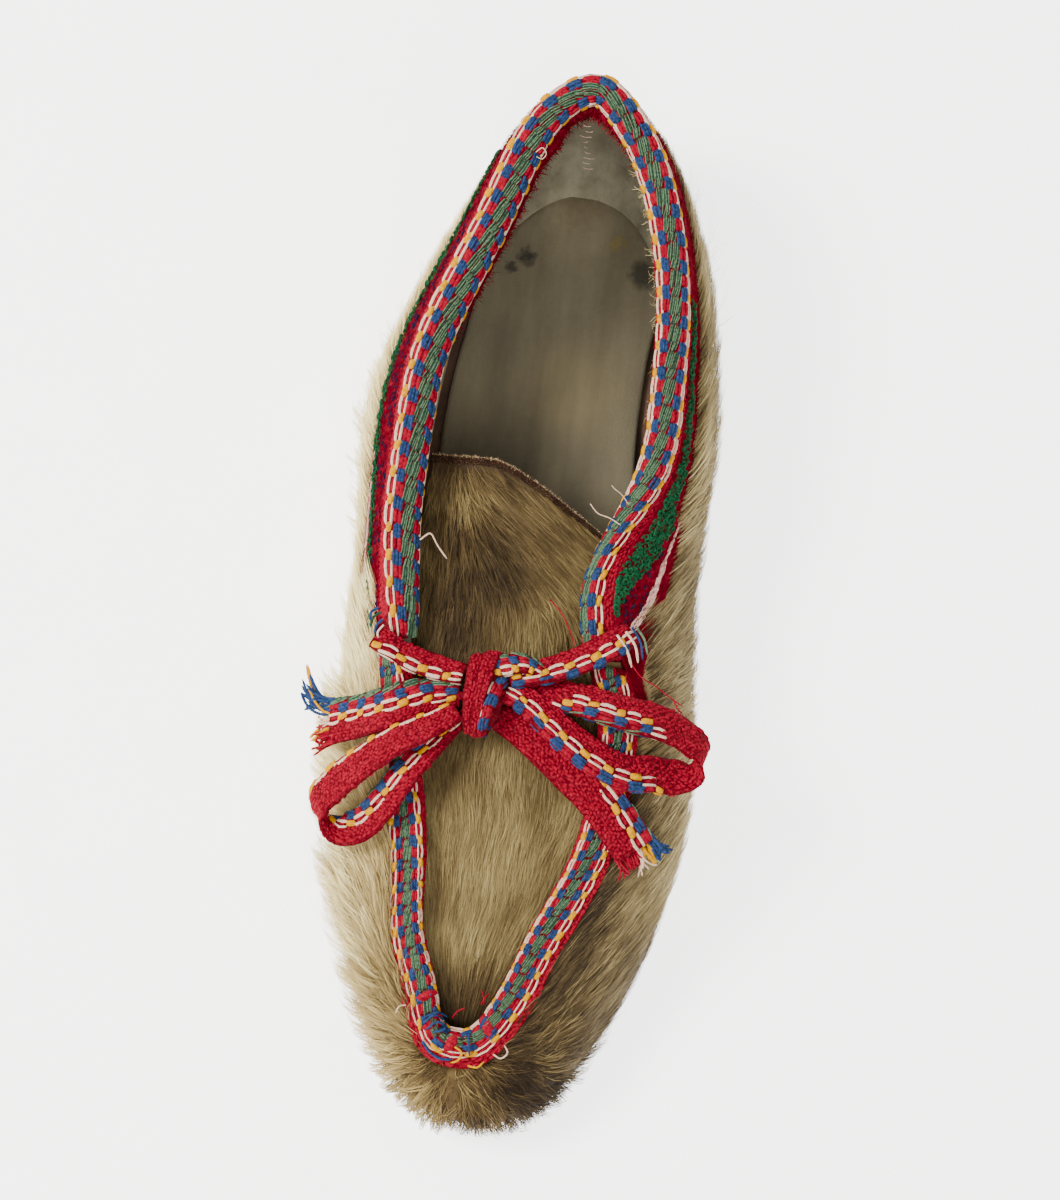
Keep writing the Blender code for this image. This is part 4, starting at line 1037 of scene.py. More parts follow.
EVERYWHERE = (-999.0, -998.0)       # a span that lies before every place on the shoe
UPPER_FADES = [
    # amount, x from, x to, y from, y to
    (0.10, 22.0, 38.0, -88.0, -74.0), (-0.13, 6.0, 20.0, -92.0, -106.0),
    (0.17, 36.0, 46.0, -95.0, -66.0), (-0.25, 30.0, 42.0, -40.0, -14.0),
    (-0.06, *EVERYWHERE, -114.0, -122.0),
]
UPPER_BLOTS = [
    # amount, x, reach in x, y, reach in y
    (-0.10, 17.0, 8.0, -106.0, 8.0), (-0.13, 30.0, 10.0, -93.0, 12.0),
    (-0.28, 9.0, 8.0, -118.0, 4.5),
]


def marks(points, fades, blots):
    """Changes of tone: fades set in over a span of x and of y, blots lie round a place."""
    x, y = points[..., 0], points[..., 1]
    total = np.zeros(x.shape)
    for amount, x_from, x_to, y_from, y_to in fades:
        total += amount * smooth_step(x_from, x_to, x) * smooth_step(y_from, y_to, y)
    for amount, x_middle, x_reach, y_middle, y_reach in blots:
        total += amount * np.exp(-((x - x_middle) / x_reach) ** 2
                                 - ((y - y_middle) / y_reach) ** 2)
    return total


def upper_tone(points):
    """Fur tone by place: cream along the inner side, darker outside and round the toe."""
    x, y = points[..., 0], points[..., 1]
    inner = smooth_step(4.0, -38.0, x)
    toe = smooth_step(-84.0, -120.0, y)
    tone = 0.40 + 0.47 * inner * (1.0 - 0.17 * toe) - 0.08 * toe
    tone = tone + marks(points, UPPER_FADES, UPPER_BLOTS)
    tone = tone - 0.09 * inner * smooth_step(-46.0, -66.0, y) * smooth_step(-94.0, -82.0, y)
    tone = tone + 0.14 * smooth_step(-30.0, -40.0, x) * np.exp(-((y - 5.0) / 45.0) ** 2)
    return tone + 0.06 * waves(points, 3, 38.0) + 0.05 * waves(points, 4, 12.0)


def upper_swell(column, distance):
    """Share of the full fur depth at a distance down the wall."""
    length = wall.value(wall.length, column)
    start = wall.value(FUR_FROM, column)
    share = np.clip((distance - start) / np.maximum(length - start, 1.0), 0.0, 1.0)
    swell = 0.48 + 0.52 * np.sin(0.5 * math.pi * np.minimum(1.0, share / 0.6))
    covers = wall.value(climb, column) * smooth_step(0.45, 0.0, share)
    return swell + 0.5 * covers


def nap(column, here):
    """Which way the fur lies, from toe to heel: share along the columns and share down."""
    x, y = here[:, 0], here[:, 1]
    heel = wall.column(18.0)
    to_heel = np.where(column < heel, 1.0, -1.0)
    at_heel = smooth_step(34.0, 3.0, np.abs(column - heel))
    fan = smooth_step(-104.0, -126.0, y)
    outer = smooth_step(-4.0, 12.0, x)
    by_loop = np.exp(-((y + 28.0) / 22.0) ** 2)
    outer_down = 0.28 + 1.2 * by_loop - 0.12 * smooth_step(-70.0, -100.0, y)
    down = 0.44 * (1.0 - outer) + outer_down * outer + 0.9 * fan + 0.9 * at_heel
    slide = to_heel * (1.0 - 0.75 * fan) * (1.0 - 0.9 * at_heel)
    size = 1.05 / np.sqrt(slide ** 2 + down ** 2)
    return slide * size, down * size


def below_edge(column, distance):
    """How far a place on the wall lies below the upper edge of the fur."""
    return np.maximum(distance - wall.value(FUR_FROM, column), 0.0)


def upper_lines(column, distance, length, lift, turn):
    """Hair lines that follow the wall from root to tip along the nap."""
    wall_long = wall.value(wall.length, column)
    here, normal = wall.at(column, distance)
    ahead, _ = wall.at(column + 0.5, distance)
    behind, _ = wall.at(column - 0.5, distance)
    spacing = np.maximum(np.linalg.norm(ahead - behind, axis=-1), 0.5)
    slide, down = nap(column, here)
    slide, down = (slide * np.cos(turn) - down * np.sin(turn),
                   slide * np.sin(turn) * np.sign(slide) + down * np.cos(turn))
    near = np.exp(-below_edge(column, distance) / 2.0)
    by_throat = smooth_step(2.0, -8.0, here[:, 0]) * smooth_step(-16.0, -34.0, here[:, 1])
    down = down - 0.5 * near * by_throat * smooth_step(1.0, 0.5, down)
    depth = wall.value(wall.fur, column) * upper_swell(column, distance) + 1.0 * near
    lines = []
    for k, share in enumerate(np.linspace(0.0, 1.0, HAIR_POINTS)):
        travel = length * share
        c = column + slide * travel / spacing
        d = distance + down * travel
        over = np.clip(d - wall_long, 0.0, FOOT_OVER)
        points, normals = wall.at(c, d)
        out = np.stack([wall.value(wall.out[:, axis], np.mod(c, COLUMNS))
                        for axis in range(3)], axis=-1)
        points = points + normals * (lift * depth * HAIR_RISE[k])[:, None]
        points = points + out * (over * 0.8)[:, None]
        points[:, 2] -= over * 0.3
        lines.append(points)
    return np.stack(lines, axis=1), here, normal


def upper_roots(count, local):
    """Roots spread evenly over the fur part of the wall: columns and distances."""
    span = np.maximum(wall.length - FUR_FROM, 0.0)
    middle = wall.sheet.grid[:, LINE_STEPS // 2]
    step = np.linalg.norm(np.roll(middle, -1, axis=0) - middle, axis=1)
    weight = np.cumsum(span * step)
    column = np.interp(local.uniform(0.0, weight[-1], count), weight, every.astype(float))
    share = local.uniform(0.0, 1.0, count)
    by_trim = local.uniform(0.0, 1.0, count) < 0.12
    share = np.where(by_trim, np.abs(local.normal(size=count)) * 0.05, share)
    distance = wall.value(FUR_FROM, column) + share * wall.value(span, column)
    return column, distance


def gather(lines, guides, pull):
    """Each hair leans to the nearest guide, so that the fur lies in fine locks."""
    tree = KDTree(len(guides))
    for i, point in enumerate(guides[:, 0]):
        tree.insert(point, i)
    tree.balance()
    nearest = np.array([tree.find(point)[1] for point in lines[:, 0]])
    share = LOCK_PULL[None, :, None] * pull
    goal = guides[nearest] + (lines[:, :1] - guides[nearest][:, :1]) * LOCK_APART
    return lines * (1.0 - share) + goal * share, nearest


def tousle(lines, local):
    """Moves each hair's tip a little, and the point before it less."""
    wobble = local.normal(size=(len(lines), 3)) * TIP_WOBBLE
    lines[:, -1] += wobble
    lines[:, -2] += wobble * 0.4


def straight_fibres(root, way):
    """Short fibres straight out from their roots."""
    return np.stack([root + way * share for share in STUBBLE], axis=1)


def hair_shape(column, distance, length, lift, local, turn):
    """Length, lift and turn of each hair: short and tousled at the toe."""
    here, _ = wall.at(column, distance)
    toe = smooth_step(-96.0, -118.0, here[:, 1])
    long = length * local.uniform(0.7, 1.15, len(column)) * (1.0 - 0.42 * toe)
    outer = smooth_step(0.0, 30.0, here[:, 0]) * smooth_step(-60.0, -90.0, here[:, 1])
    inner = smooth_step(-16.0, -32.0, here[:, 0]) * smooth_step(-50.0, -90.0, here[:, 1])
    high = lift * local.uniform(0.65, 1.15, len(column))
    high = high * (1.0 + 0.35 * toe - 0.35 * outer + 0.5 * inner)
    return long, high, local.normal(size=len(column)) * (turn + 0.38 * toe)


def grow_upper(name, count, seed, length, wide, lift, tone_shift, pull, short=False):
    """One layer of the upper's fur, gathered into locks."""
    local = np.random.default_rng(seed)
    guide_count = count // HAIRS_PER_LOCK
    guide_column, guide_distance = upper_roots(guide_count, local)
    guides = upper_lines(guide_column, guide_distance, *hair_shape(
        guide_column, guide_distance, length, lift, local, 0.10))[0]
    column, distance = upper_roots(count, local)
    lines, here, normal = upper_lines(column, distance, *hair_shape(
        column, distance, length, lift, local, 0.08))
    lines, nearest = gather(lines, guides, pull)
    lock_tone = local.normal(size=guide_count)[nearest]
    tousle(lines, local)
    lines[..., 2] = np.maximum(lines[..., 2], GROUND)
    side = hair_side(lines, normal, 0.35 * local.normal(size=(count, 3)))
    tone = upper_tone(here) + tone_shift + 0.07 * lock_tone + 0.11 * local.normal(size=count)
    below = below_edge(column, distance)
    x, y = here[:, 0], here[:, 1]
    # Painted shade: the hair is darker just below the band over the front half, and deeper down
    # beside the throat on the outer side.
    tone = tone - 0.22 * np.exp(-below / 5.0) * smooth_step(30.0, -30.0, y)
    shade_beside_throat = smooth_step(0.0, 10.0, x) * smooth_step(-30.0, -60.0, y)
    tone = tone - 0.13 * np.exp(-below / 12.0) * shade_beside_throat
    hair_wide = wide * local.uniform(0.7, 1.3, count)
    hair_mesh(name, lines, side, hair_wide, tone, FUR, short)


STRAY_COUNT = 80
TUFT_COUNT, TUFT_HAIRS, TUFTS_TO_TOE = 520, 10, 420
TUFT_SPREAD = np.array([1.0, 0.8, 0.4, 0.12])   # how far apart a tuft's hairs are, root to tip
TOE_HALF = 27.6             # section from where the tufts are the ones towards the toe
FUZZ_COUNT = 620


def grow_strays(local):
    """Long fine hairs that stand off below the cuff, on the outer side towards the heel."""
    column = local.uniform(wall.column(14.0), wall.column(16.8), STRAY_COUNT)
    distance = wall.value(wall.trim, column) + local.uniform(-1.0, 9.0, STRAY_COUNT)
    lines, _, normal = upper_lines(column, distance, local.uniform(12.0, 26.0, STRAY_COUNT),
                                   local.uniform(1.2, 2.8, STRAY_COUNT),
                                   local.normal(size=STRAY_COUNT) * 0.35)
    hair_mesh("stray_hair", lines, hair_side(lines, normal), np.full(STRAY_COUNT, 0.11),
              local.uniform(0.2, 1.0, STRAY_COUNT), FUR)


def grow_tufts(local):
    """Tufts that stand off the inner side's wall, most of them towards the toe."""
    half = wall.column(TOE_HALF)
    column = np.where(np.arange(TUFT_COUNT) < TUFTS_TO_TOE,
                      local.uniform(half, wall.column(34.6), TUFT_COUNT),
                      local.uniform(wall.column(20.6), half, TUFT_COUNT))
    distance = wall.value(wall.length, column) * local.uniform(0.34, 0.86, TUFT_COUNT)
    stands = np.where(column < half, 0.68, 1.0)
    guides, here, normal = upper_lines(column, distance, local.uniform(7.0, 11.0, TUFT_COUNT),
                                       stands * local.uniform(1.7, 2.3, TUFT_COUNT),
                                       local.normal(size=TUFT_COUNT) * 0.25 + 0.15)
    lines = guides[:, None] + (local.normal(size=(TUFT_COUNT, TUFT_HAIRS, 1, 3)) * 0.9
                               * TUFT_SPREAD[None, None, :, None])
    lines = lines.reshape(-1, HAIR_POINTS, 3)
    lines[..., 2] = np.maximum(lines[..., 2], GROUND)
    side = hair_side(lines, np.repeat(normal, TUFT_HAIRS, axis=0))
    tone = np.repeat(upper_tone(here) + local.uniform(-0.02, 0.2, TUFT_COUNT), TUFT_HAIRS)
    hair_mesh("edge_tufts", lines, side, local.uniform(0.12, 0.20, len(lines)), tone, FUR)


def grow_lining_fuzz(local):
    """Fine pale fuzz inside the outer wall, high up."""
    count = FUZZ_COUNT
    up = np.array([0.0, 0.0, 1.0])
    column = local.uniform(wall.column(12.2), wall.column(15.8), count)
    distance = local.uniform(3.0, 13.0, count)
    root, normal = wall.at(column, distance)
    root = root - normal * (wall.thickness(column, distance) + 0.1)[:, None]
    way = unit(wall.at(column + 0.5, distance)[0] - wall.at(column - 0.5, distance)[0])
    out = local.uniform(1.2, 5.0, count)[:, None]
    rise = local.uniform(-1.0, 2.4, count)[:, None] * up
    slide = local.normal(size=(count, 1)) * 1.8
    curl = local.normal(size=(count, 1)) * 1.0
    lines = np.stack((root, root - normal * out * 0.5 + way * slide * 0.3 + rise * 0.2,
                      root - normal * out * 0.9 + way * (slide * 0.7 + curl) + rise * 0.6,
                      root - normal * out + way * slide + rise), axis=1)
    hair_mesh("lining_fuzz", lines, hair_side(lines, up), np.full(count, 0.09),
              local.uniform(0.5, 0.9, count), FUR)


RAW_EDGE_COUNT = 4200
RAW_EDGE_FROM, RAW_EDGE_PALE_FROM = 0.984, 0.9975       # shares along the tongue


def grow_raw_edge():
    """Short stubble on the tongue's bare top edge, dark with light flecks."""
    local = np.random.default_rng(106)
    count = RAW_EDGE_COUNT
    along = local.uniform(RAW_EDGE_FROM, 1.0, count)
    here, normal = tongue_sheet().at(along, local.uniform(-0.99, 0.99, count))
    lean = local.normal(size=(count, 3)) * np.array([0.45, 0.45, 0.2])
    tall = local.uniform(0.3, 0.8, count)[:, None]
    lines = straight_fibres(here + normal * 0.05, (normal * 0.5 + lean) * tall)
    side = unit(np.cross(lean, normal) + 0.01)
    tone = np.where(local.uniform(size=count) < 0.6, 0.05, local.uniform(0.2, 0.6, count))
    tone = np.where(along > RAW_EDGE_PALE_FROM, local.uniform(0.6, 1.0, count), tone)
    hair_mesh("tongue_raw_edge", lines, side, np.full(count, 0.14), tone, RAW_EDGE,
              True)


# Skin of the upper under the fur, and its lining

PELT_COLUMNS = 240
PELT_ROWS = 40
LINING_ROWS = 26


SKIN_U = 0.3                # place from root to tip in the hair's colours that bare skin takes
PELT_DEPTH = 0.42           # share of the fur's depth that the skin under it fills


def skin_place(tone):
    """Places in the hair's colours for bare skin of a tone."""
    return np.stack((np.full(tone.shape, SKIN_U), np.clip(tone, 0.01, 0.99)), axis=-1)


def make_pelt():
    """The skin that shows between the hairs, swollen a little as the fur is."""
    columns = np.arange(PELT_COLUMNS) * COLUMNS / PELT_COLUMNS
    leg = wall.value(wall.leg, columns)
    top = np.maximum(wall.value(FUR_FROM, columns), leg + 0.4) + 0.2
    length = wall.value(wall.length, columns)
    fur = wall.value(wall.fur, columns)
    rows = [wall.at(columns, leg * share)[0] for share in (0.0, 0.5, 1.0)]
    for share in np.linspace(0.0, 1.0, PELT_ROWS) ** 1.2:
        distance = top + (length - top) * share
        points, normals = wall.at(columns, distance)
        base = PELT_DEPTH * fur * upper_swell(columns, distance)
        base = base * smooth_step(0.0, 0.05, share + 0.004)
        base = base * (1.0 - 0.5 * smooth_step(0.9, 1.0, share))
        base = base + 0.25 * waves(points, 9, 9.0)
        rows.append(points + normals * base[:, None])
    grid = np.stack(rows, axis=1)
    pile = Pile()
    pile.add(grid, grid_quads(PELT_COLUMNS, grid.shape[1], close_rows=True)[:, ::-1],
             place=skin_place(upper_tone(grid) - 0.06))
    thing = pile.make("pelt", [FUR])
    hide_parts("upper")


RAGGED_SCALE, RAGGED_REACH = 500.0, 0.004       # cycles per metre, and metres


def stain_and_shade_blot(nodes, links, place, radius, colour):
    """A blot with a ragged edge round a place given in the table's mm, used for real stains and for
    painted shade.
    """
    where = nodes.new("ShaderNodeTexCoord")
    ragged = nodes.new("ShaderNodeTexNoise")
    ragged.inputs["Scale"].default_value = RAGGED_SCALE
    links.new(where.outputs["Object"], ragged.inputs["Vector"])
    shift = nodes.new("ShaderNodeVectorMath")
    shift.operation = "MULTIPLY_ADD"
    shift.inputs[1].default_value = (RAGGED_REACH,) * 3
    links.new(ragged.outputs["Color"], shift.inputs[0])
    links.new(where.outputs["Object"], shift.inputs[2])
    far = nodes.new("ShaderNodeVectorMath")
    far.operation = "DISTANCE"
    middle = metres(np.array(place)) + 0.5 * RAGGED_REACH
    far.inputs[1].default_value = tuple(float(value) for value in middle)
    links.new(shift.outputs["Vector"], far.inputs[0])
    size = nodes.new("ShaderNodeMapRange")
    size.inputs["From Max"].default_value = radius * 2.0 * MM
    links.new(far.outputs["Value"], size.inputs["Value"])
    return ramp(nodes, links, size.outputs["Result"],
                [(0.25, colour), (0.6, (1.0, 1.0, 1.0))]).outputs["Color"]


def leather_look(name, stops, scale, stretch, rough, grain, stains_and_shade=()):
    """Worn leather, with blots of real stains and of painted shade: (place in mm, radius in mm,
    colour it is multiplied by).
    """
    made, nodes, links, shader = shade(name, stops[1][1], rough, 0.1, 0.25)
    noise = object_noise(nodes, links, scale, 6.0, stretch, 0.6)
    tint = ramp(nodes, links, noise.outputs["Fac"], stops).outputs["Color"]
    cloud = object_noise(nodes, links, 45.0, 5.0, (1.0, 1.0, 1.0), 0.65)
    mottle = ramp(nodes, links, cloud.outputs["Fac"],
                  [(0.32, (0.88, 0.89, 0.90)), (0.5, (1.0, 1.0, 1.0)), (0.7, (1.07, 1.06, 1.02))])
    tint = multiply(nodes, links, tint, mottle.outputs["Color"])
    # real stains and painted shade, each multiplied over the colour
    for place, radius, colour in stains_and_shade:
        tint = multiply(nodes, links, tint, stain_and_shade_blot(nodes, links, place, radius, colour))
    links.new(tint, shader.inputs["Base Color"])
    fine = object_noise(nodes, links, grain, 4.0)
    bump(nodes, links, shader, fine.outputs["Fac"], LEATHER_BUMP, LEATHER_RELIEF)
    return made


LINING = leather_look(
    "lining_leather",
    screen_stops((0.30, 112, 104, 84), (0.5, 132, 125, 103), (0.72, 150, 143, 120)), 160.0,
    (1.0, 1.0, 0.6), 0.85, 2400.0,
    # Blots: painted shade round (36, 50) over the outer side's inner wall, a lighter patch over the
    # inner side's wall, and a darker blot at the heel.
    [((36.0, 50.0, 26.0), 46.0, (0.20, 0.23, 0.25)), ((-38.0, 20.0, 30.0), 46.0, (1.12, 1.1, 1.2)),
     ((2.0, 117.0, 30.0), 9.0, (0.82, 0.78, 0.72))])


def make_lining():
    """Inner face of the wall, from under the band down to the insole."""
    columns = np.arange(PELT_COLUMNS) * COLUMNS / PELT_COLUMNS
    length = wall.value(wall.length, columns)
    rows = []
    for share in np.linspace(0.0, 1.0, LINING_ROWS):
        distance = length * share
        points, normals = wall.at(columns, distance)
        thick = wall.thickness(columns, distance)
        ripple = 0.22 * waves(points, 21, 16.0) * smooth_step(0.05, 0.3, share)
        rows.append(points - normals * (thick + ripple)[:, None])
    grid = np.stack(rows, axis=1)
    pile = Pile()
    pile.add(grid, grid_quads(PELT_COLUMNS, LINING_ROWS, close_rows=True))
    rim = np.stack((wall.at(columns, np.zeros(PELT_COLUMNS))[0], grid[:, 0]), axis=1)
    pile.add(rim, grid_quads(PELT_COLUMNS, 2, close_rows=True)[:, ::-1])
    thing = pile.make("lining", [LINING])


# Insole

INSOLE = leather_look(
    "insole_leather", screen_stops((0.28, 82, 75, 58), (0.5, 98, 90, 70), (0.74, 112, 104, 82)),
    70.0, (1.0, 0.14, 1.0), 0.8, 1600.0,
    # Blots: two dark spots by the inner side near the heel, painted shade by the outer wall round
    # (18.6, 93), a yellowish spot, lighter patches round (4, 60) and at the heel, and darker ones
    # round (-20, 70), (2, 24) and at the heel's end.
    [((-12.2, 94.2, 5.8), 2.6, (0.24, 0.25, 0.28)), ((-16.4, 91.0, 5.8), 1.7, (0.34, 0.34, 0.36)),
     ((18.6, 93.0, 6.0), 4.4, (0.30, 0.32, 0.33)), ((10.7, 100.4, 6.4), 2.6, (1.22, 1.12, 0.7)),
     ((4.0, 60.0, 7.0), 15.0, (1.20, 1.16, 1.05)), ((-20.0, 70.0, 7.0), 10.0, (0.86, 0.87, 0.88)),
     ((2.0, 24.0, 6.0), 15.0, (0.74, 0.74, 0.74)),
     ((1.0, 102.0, 6.5), 10.0, (1.22, 1.21, 1.19)), ((1.0, 113.0, 6.5), 9.0, (0.7, 0.66, 0.62))])


def outline_at(y, offset):
    """The wall's foot at one y, moved outwards by an offset: inner and outer x."""
    loop = (wall.points[:, -1] + wall.out * offset)[:, 0:2]
    toe = int(np.argmin(loop[:, 1]))
    loop = np.roll(loop, -toe, axis=0)
    heel = int(np.argmax(loop[:, 1]))
    outer = loop[:heel + 1]
    inner = np.vstack((loop[heel:], loop[:1]))[::-1]
    return np.interp(y, inner[:, 1], inner[:, 0]), np.interp(y, outer[:, 1], outer[:, 0])


HEEL_TUCK = 1.3             # how far the insole's heel end runs in under the lining
INSOLE_GAP = 1.9            # how far its edge stays off the lining before the heel
INSOLE_ROWS, INSOLE_ACROSS = 98, 29


def make_insole():
    loop = (wall.points[:, -1] - wall.out * (SKIN_THICK - 0.1))[:, 0:2]
    by_heel = loop[loop[:, 1] > 60.0]
    low, high = loop[:, 1].min(), loop[:, 1].max() + HEEL_TUCK
    turn = np.linspace(0.0, math.pi, INSOLE_ROWS)[1:-1]
    reach = np.linspace(-1.0, 1.0, INSOLE_ACROSS)
    reach = np.sin(reach * math.pi / 2) * 0.5 + reach * 0.5
    top = []
    under = []
    for y in low + (high - low) * 0.5 * (1.0 - np.cos(turn)):
        gap = INSOLE_GAP * smooth_step(92.0, 70.0, y) - HEEL_TUCK * smooth_step(82.0, 94.0, y)
        inner, outer = outline_at(y, 0.1 - SKIN_THICK - gap)
        xs = 0.5 * (inner + outer) + reach * 0.5 * (outer - inner)
        ys = np.full(len(xs), y)
        base = sole_rise(xs, ys) + SOLE_THICK + GAP
        spot = np.column_stack((xs, ys, base))
        dish = -0.5 * (1.0 - reach ** 2) * smooth_step(20.0, 60.0, ys)
        wave = 0.16 * waves(spot, 31, 24.0) + 0.05 * waves(spot, 32, 6.0)
        rim = 0.5 * smooth_step(0.94, 1.0, np.abs(reach)) * smooth_step(92.0, 76.0, ys)
        far = np.linalg.norm(spot[:, None, 0:2] - by_heel[None], axis=2).min(axis=1)
        rim = rim - 1.6 * np.exp(-(far / 2.6) ** 2) * smooth_step(84.0, 98.0, ys)
        top.append(np.column_stack((xs, ys, base + INSOLE_THICK - 0.1 + dish + wave - rim)))
        under.append(np.column_stack((xs, ys, base)))
    pile = Pile()
    add_tube(pile, np.concatenate((np.array(top), np.array(under)[:, ::-1]), axis=1))
    thing = pile.make("insole_sheet", [INSOLE])
    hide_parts("insole")


# Tongue

TONGUE_ROWS, TONGUE_ACROSS = 70, 41
TONGUE_SINK = 1.0           # how far the skin lies under the top of the CAD's tongue
TONGUE_SKIN_THICK = 1.5
TONGUE_HALF = 21.0          # about half the tongue's width, which turns mm into shares across
TONGUE_DARK = 0.04          # tone of the skin's last rows, by the raw edge
TONGUE_FADES = [
    # amount, x from, x to, y from, y to
    (0.12, *EVERYWHERE, -28.0, -66.0), (-0.33, *EVERYWHERE, -78.0, -95.0),
    (0.05, -10.0, -18.0, 6.0, 18.0), (-0.10, -10.0, -26.0, -60.0, -20.0),
    (0.15, -6.0, 10.0, -20.0, 4.0),
]
TONGUE_BLOTS = [
    # amount, x, reach in x, y, reach in y
    (-0.20, -14.0, 9.0, -4.0, 13.0),
]


def tongue_sheet():
    """The tongue's skin, along from tip to top and across from -1 to 1."""
    table = np.array(TONGUE)
    share = np.linspace(0.0, 1.0, TONGUE_ROWS)
    reach = np.linspace(-1.0, 1.0, TONGUE_ACROSS)
    grid = []
    for y in TONGUE_TIP + (TONGUE_TOP - TONGUE_TIP) * share:
        inner, outer, edge_z, crown = (np.interp(y, table[:, 0], table[:, k]) for k in range(1, 5))
        xs = 0.5 * (inner + outer) + reach * 0.5 * (outer - inner)
        slant = np.clip((y - TONGUE_SLANT_FROM) / (TONGUE_TOP - TONGUE_SLANT_FROM), 0.0, 1.0)
        past = xs - TONGUE_CORNER
        back = TONGUE_SLANT * 0.5 * (past + np.sqrt(past ** 2 + TONGUE_ROUND ** 2))
        swell = np.clip(1.0 - reach ** 2, 0.0, 1.0) ** TONGUE_POWER
        top = edge_z + crown * swell - TONGUE_SINK * np.minimum(1.0, swell * 3.0)
        grid.append(np.column_stack((xs, y - slant * back, top)))
    return Sheet(np.array(grid), share, reach, np.array([0.0, 0.0, 1.0]))


def tongue_tone(points):
    """Tongue tone by place: dark by the tip and over most of the upper part."""
    x, y = points[..., 0], points[..., 1]
    tone = 0.26 + marks(points, TONGUE_FADES, TONGUE_BLOTS)
    middle = smooth_step(-18.0, -8.0, x) * smooth_step(15.0, 4.0, x)
    tone = tone - 0.12 * smooth_step(-8.0, 8.0, y) * middle
    return tone + 0.05 * waves(points, 5, 24.0) + 0.05 * waves(points, 6, 9.0)


def make_tongue():
    sheet = tongue_sheet()
    grid = sheet.grid + sheet.normals * (0.25 * waves(sheet.grid, 15, 8.0))[..., None]
    under = grid - np.array([0.0, 0.0, TONGUE_SKIN_THICK])
    section = np.concatenate((grid, under[:, ::-1]), axis=1)
    tone = tongue_tone(section) - 0.1
    tone[-4:] = TONGUE_DARK
    pile = Pile()
    add_tube(pile, section, place=skin_place(tone))
    thing = pile.make("tongue_skin", [TONGUE_FUR])
    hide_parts("tongue")


def tongue_lines(sheet, along, across, length, lift, local, turn):
    """Hair lines from root to tip: towards the toe, and turned outwards in the upper part."""
    here, normal = sheet.at(along, across)
    count = len(along)
    span = TONGUE_TOP - TONGUE_TIP
    long = length * local.uniform(0.7, 1.15, count)
    long = long * (0.7 + 0.3 * smooth_step(28.0, 4.0, here[:, 1]))
    swirl = smooth_step(-14.0, 18.0, here[:, 1] + 0.35 * here[:, 0])
    swirl = swirl * smooth_step(-27.0, -8.0, here[:, 0])
    swing = local.normal(size=count) * turn + 0.10 * waves(here, 17, 26.0) + 0.7 * swirl
    forward = 1.0 - 0.65 * swirl
    high = lift * local.uniform(0.7, 1.15, count)
    lines = []
    for k, share in enumerate(np.linspace(0.0, 1.0, HAIR_POINTS)):
        a = along - forward * long * share / span
        b = across + swing / TONGUE_HALF * long * share
        points, normals = sheet.at(np.maximum(a, 0.0), b)
        over = np.maximum(-a, 0.0) * span
        points = points + normals * (high * HAIR_RISE[k])[:, None]
        points = points + np.array([0.0, -1.0, -0.3]) * over[:, None]
        lines.append(points)
    return np.stack(lines, axis=1), here, normal


def grow_tongue(name, count, seed, length, wide, lift, tone_shift, short=False):
    """One layer of the tongue's fur, gathered into locks."""
    local = np.random.default_rng(seed)
    sheet = tongue_sheet()
    guide_count = count // HAIRS_PER_LOCK
    guides = tongue_lines(sheet, local.uniform(0.02, 0.99, guide_count),
                          local.uniform(-0.97, 0.97, guide_count), length, lift, local, 0.12)[0]
    lines, here, normal = tongue_lines(sheet, local.uniform(0.02, 0.985, count),
                                       local.uniform(-0.97, 0.97, count), length, lift, local, 0.1)
    lines, nearest = gather(lines, guides, 0.6)
    tousle(lines, local)
    side = hair_side(lines, normal, 0.6 * local.normal(size=(count, 3)))
    lock_tone = local.normal(size=guide_count)[nearest]
    tone = tongue_tone(here) + tone_shift + 0.028 * lock_tone + 0.05 * local.normal(size=count)
    hair_mesh(name, lines, side, wide * local.uniform(0.7, 1.25, count), tone, TONGUE_FUR,
              short)


# Felt cuff

FELT_RED = yarn("felt_red", linear(106, 3, 24), 0.35, 900.0, 0.95, 0.0, 0.02)
BOUCLE_GREEN = yarn("boucle_green", linear(16, 72, 42), 0.4, 1200.0, 0.95, 0.0, 0.05)
PINK = yarn("yarn_pink", linear(206, 160, 146), 0.2, 1200.0, sheen=0.2)
NAVY = yarn("yarn_navy", linear(24, 22, 46), 0.3, 1200.0, sheen=0.0, specular=0.0)
CUFF_LOOKS = [FELT_RED, BOUCLE_GREEN, PINK, NAVY]

CUFF_END_WIDE = 3.8         # least width of the cuff, at its ends
GREEN_LINE = [
    # mm along the cuff, share down it, half the line's width
    (25.0, 0.0, 0.8), (28.0, 0.02, 1.6), (32.5, 0.10, 2.8), (37.3, 0.21, 3.4), (43.7, 0.32, 4.2),
    (49.3, 0.34, 3.8), (56.0, 0.22, 2.6), (61.5, 0.17, 1.8), (69.0, 0.16, 1.4), (81.0, 0.14, 1.2),
    (93.0, 0.08, 1.0), (104.0, 0.06, 0.8), (108.0, 0.06, 0.0), (202.0, 0.66, 0.0),
    (208.0, 0.70, 1.0), (220.0, 0.76, 1.2), (240.0, 0.84, 1.2), (260.0, 0.76, 1.2),
    (280.0, 0.76, 1.1), (296.0, 0.58, 0.9), (304.0, 0.52, 0.7), (320.0, 0.46, 0.5),
    (332.0, 0.45, 0.3),
]
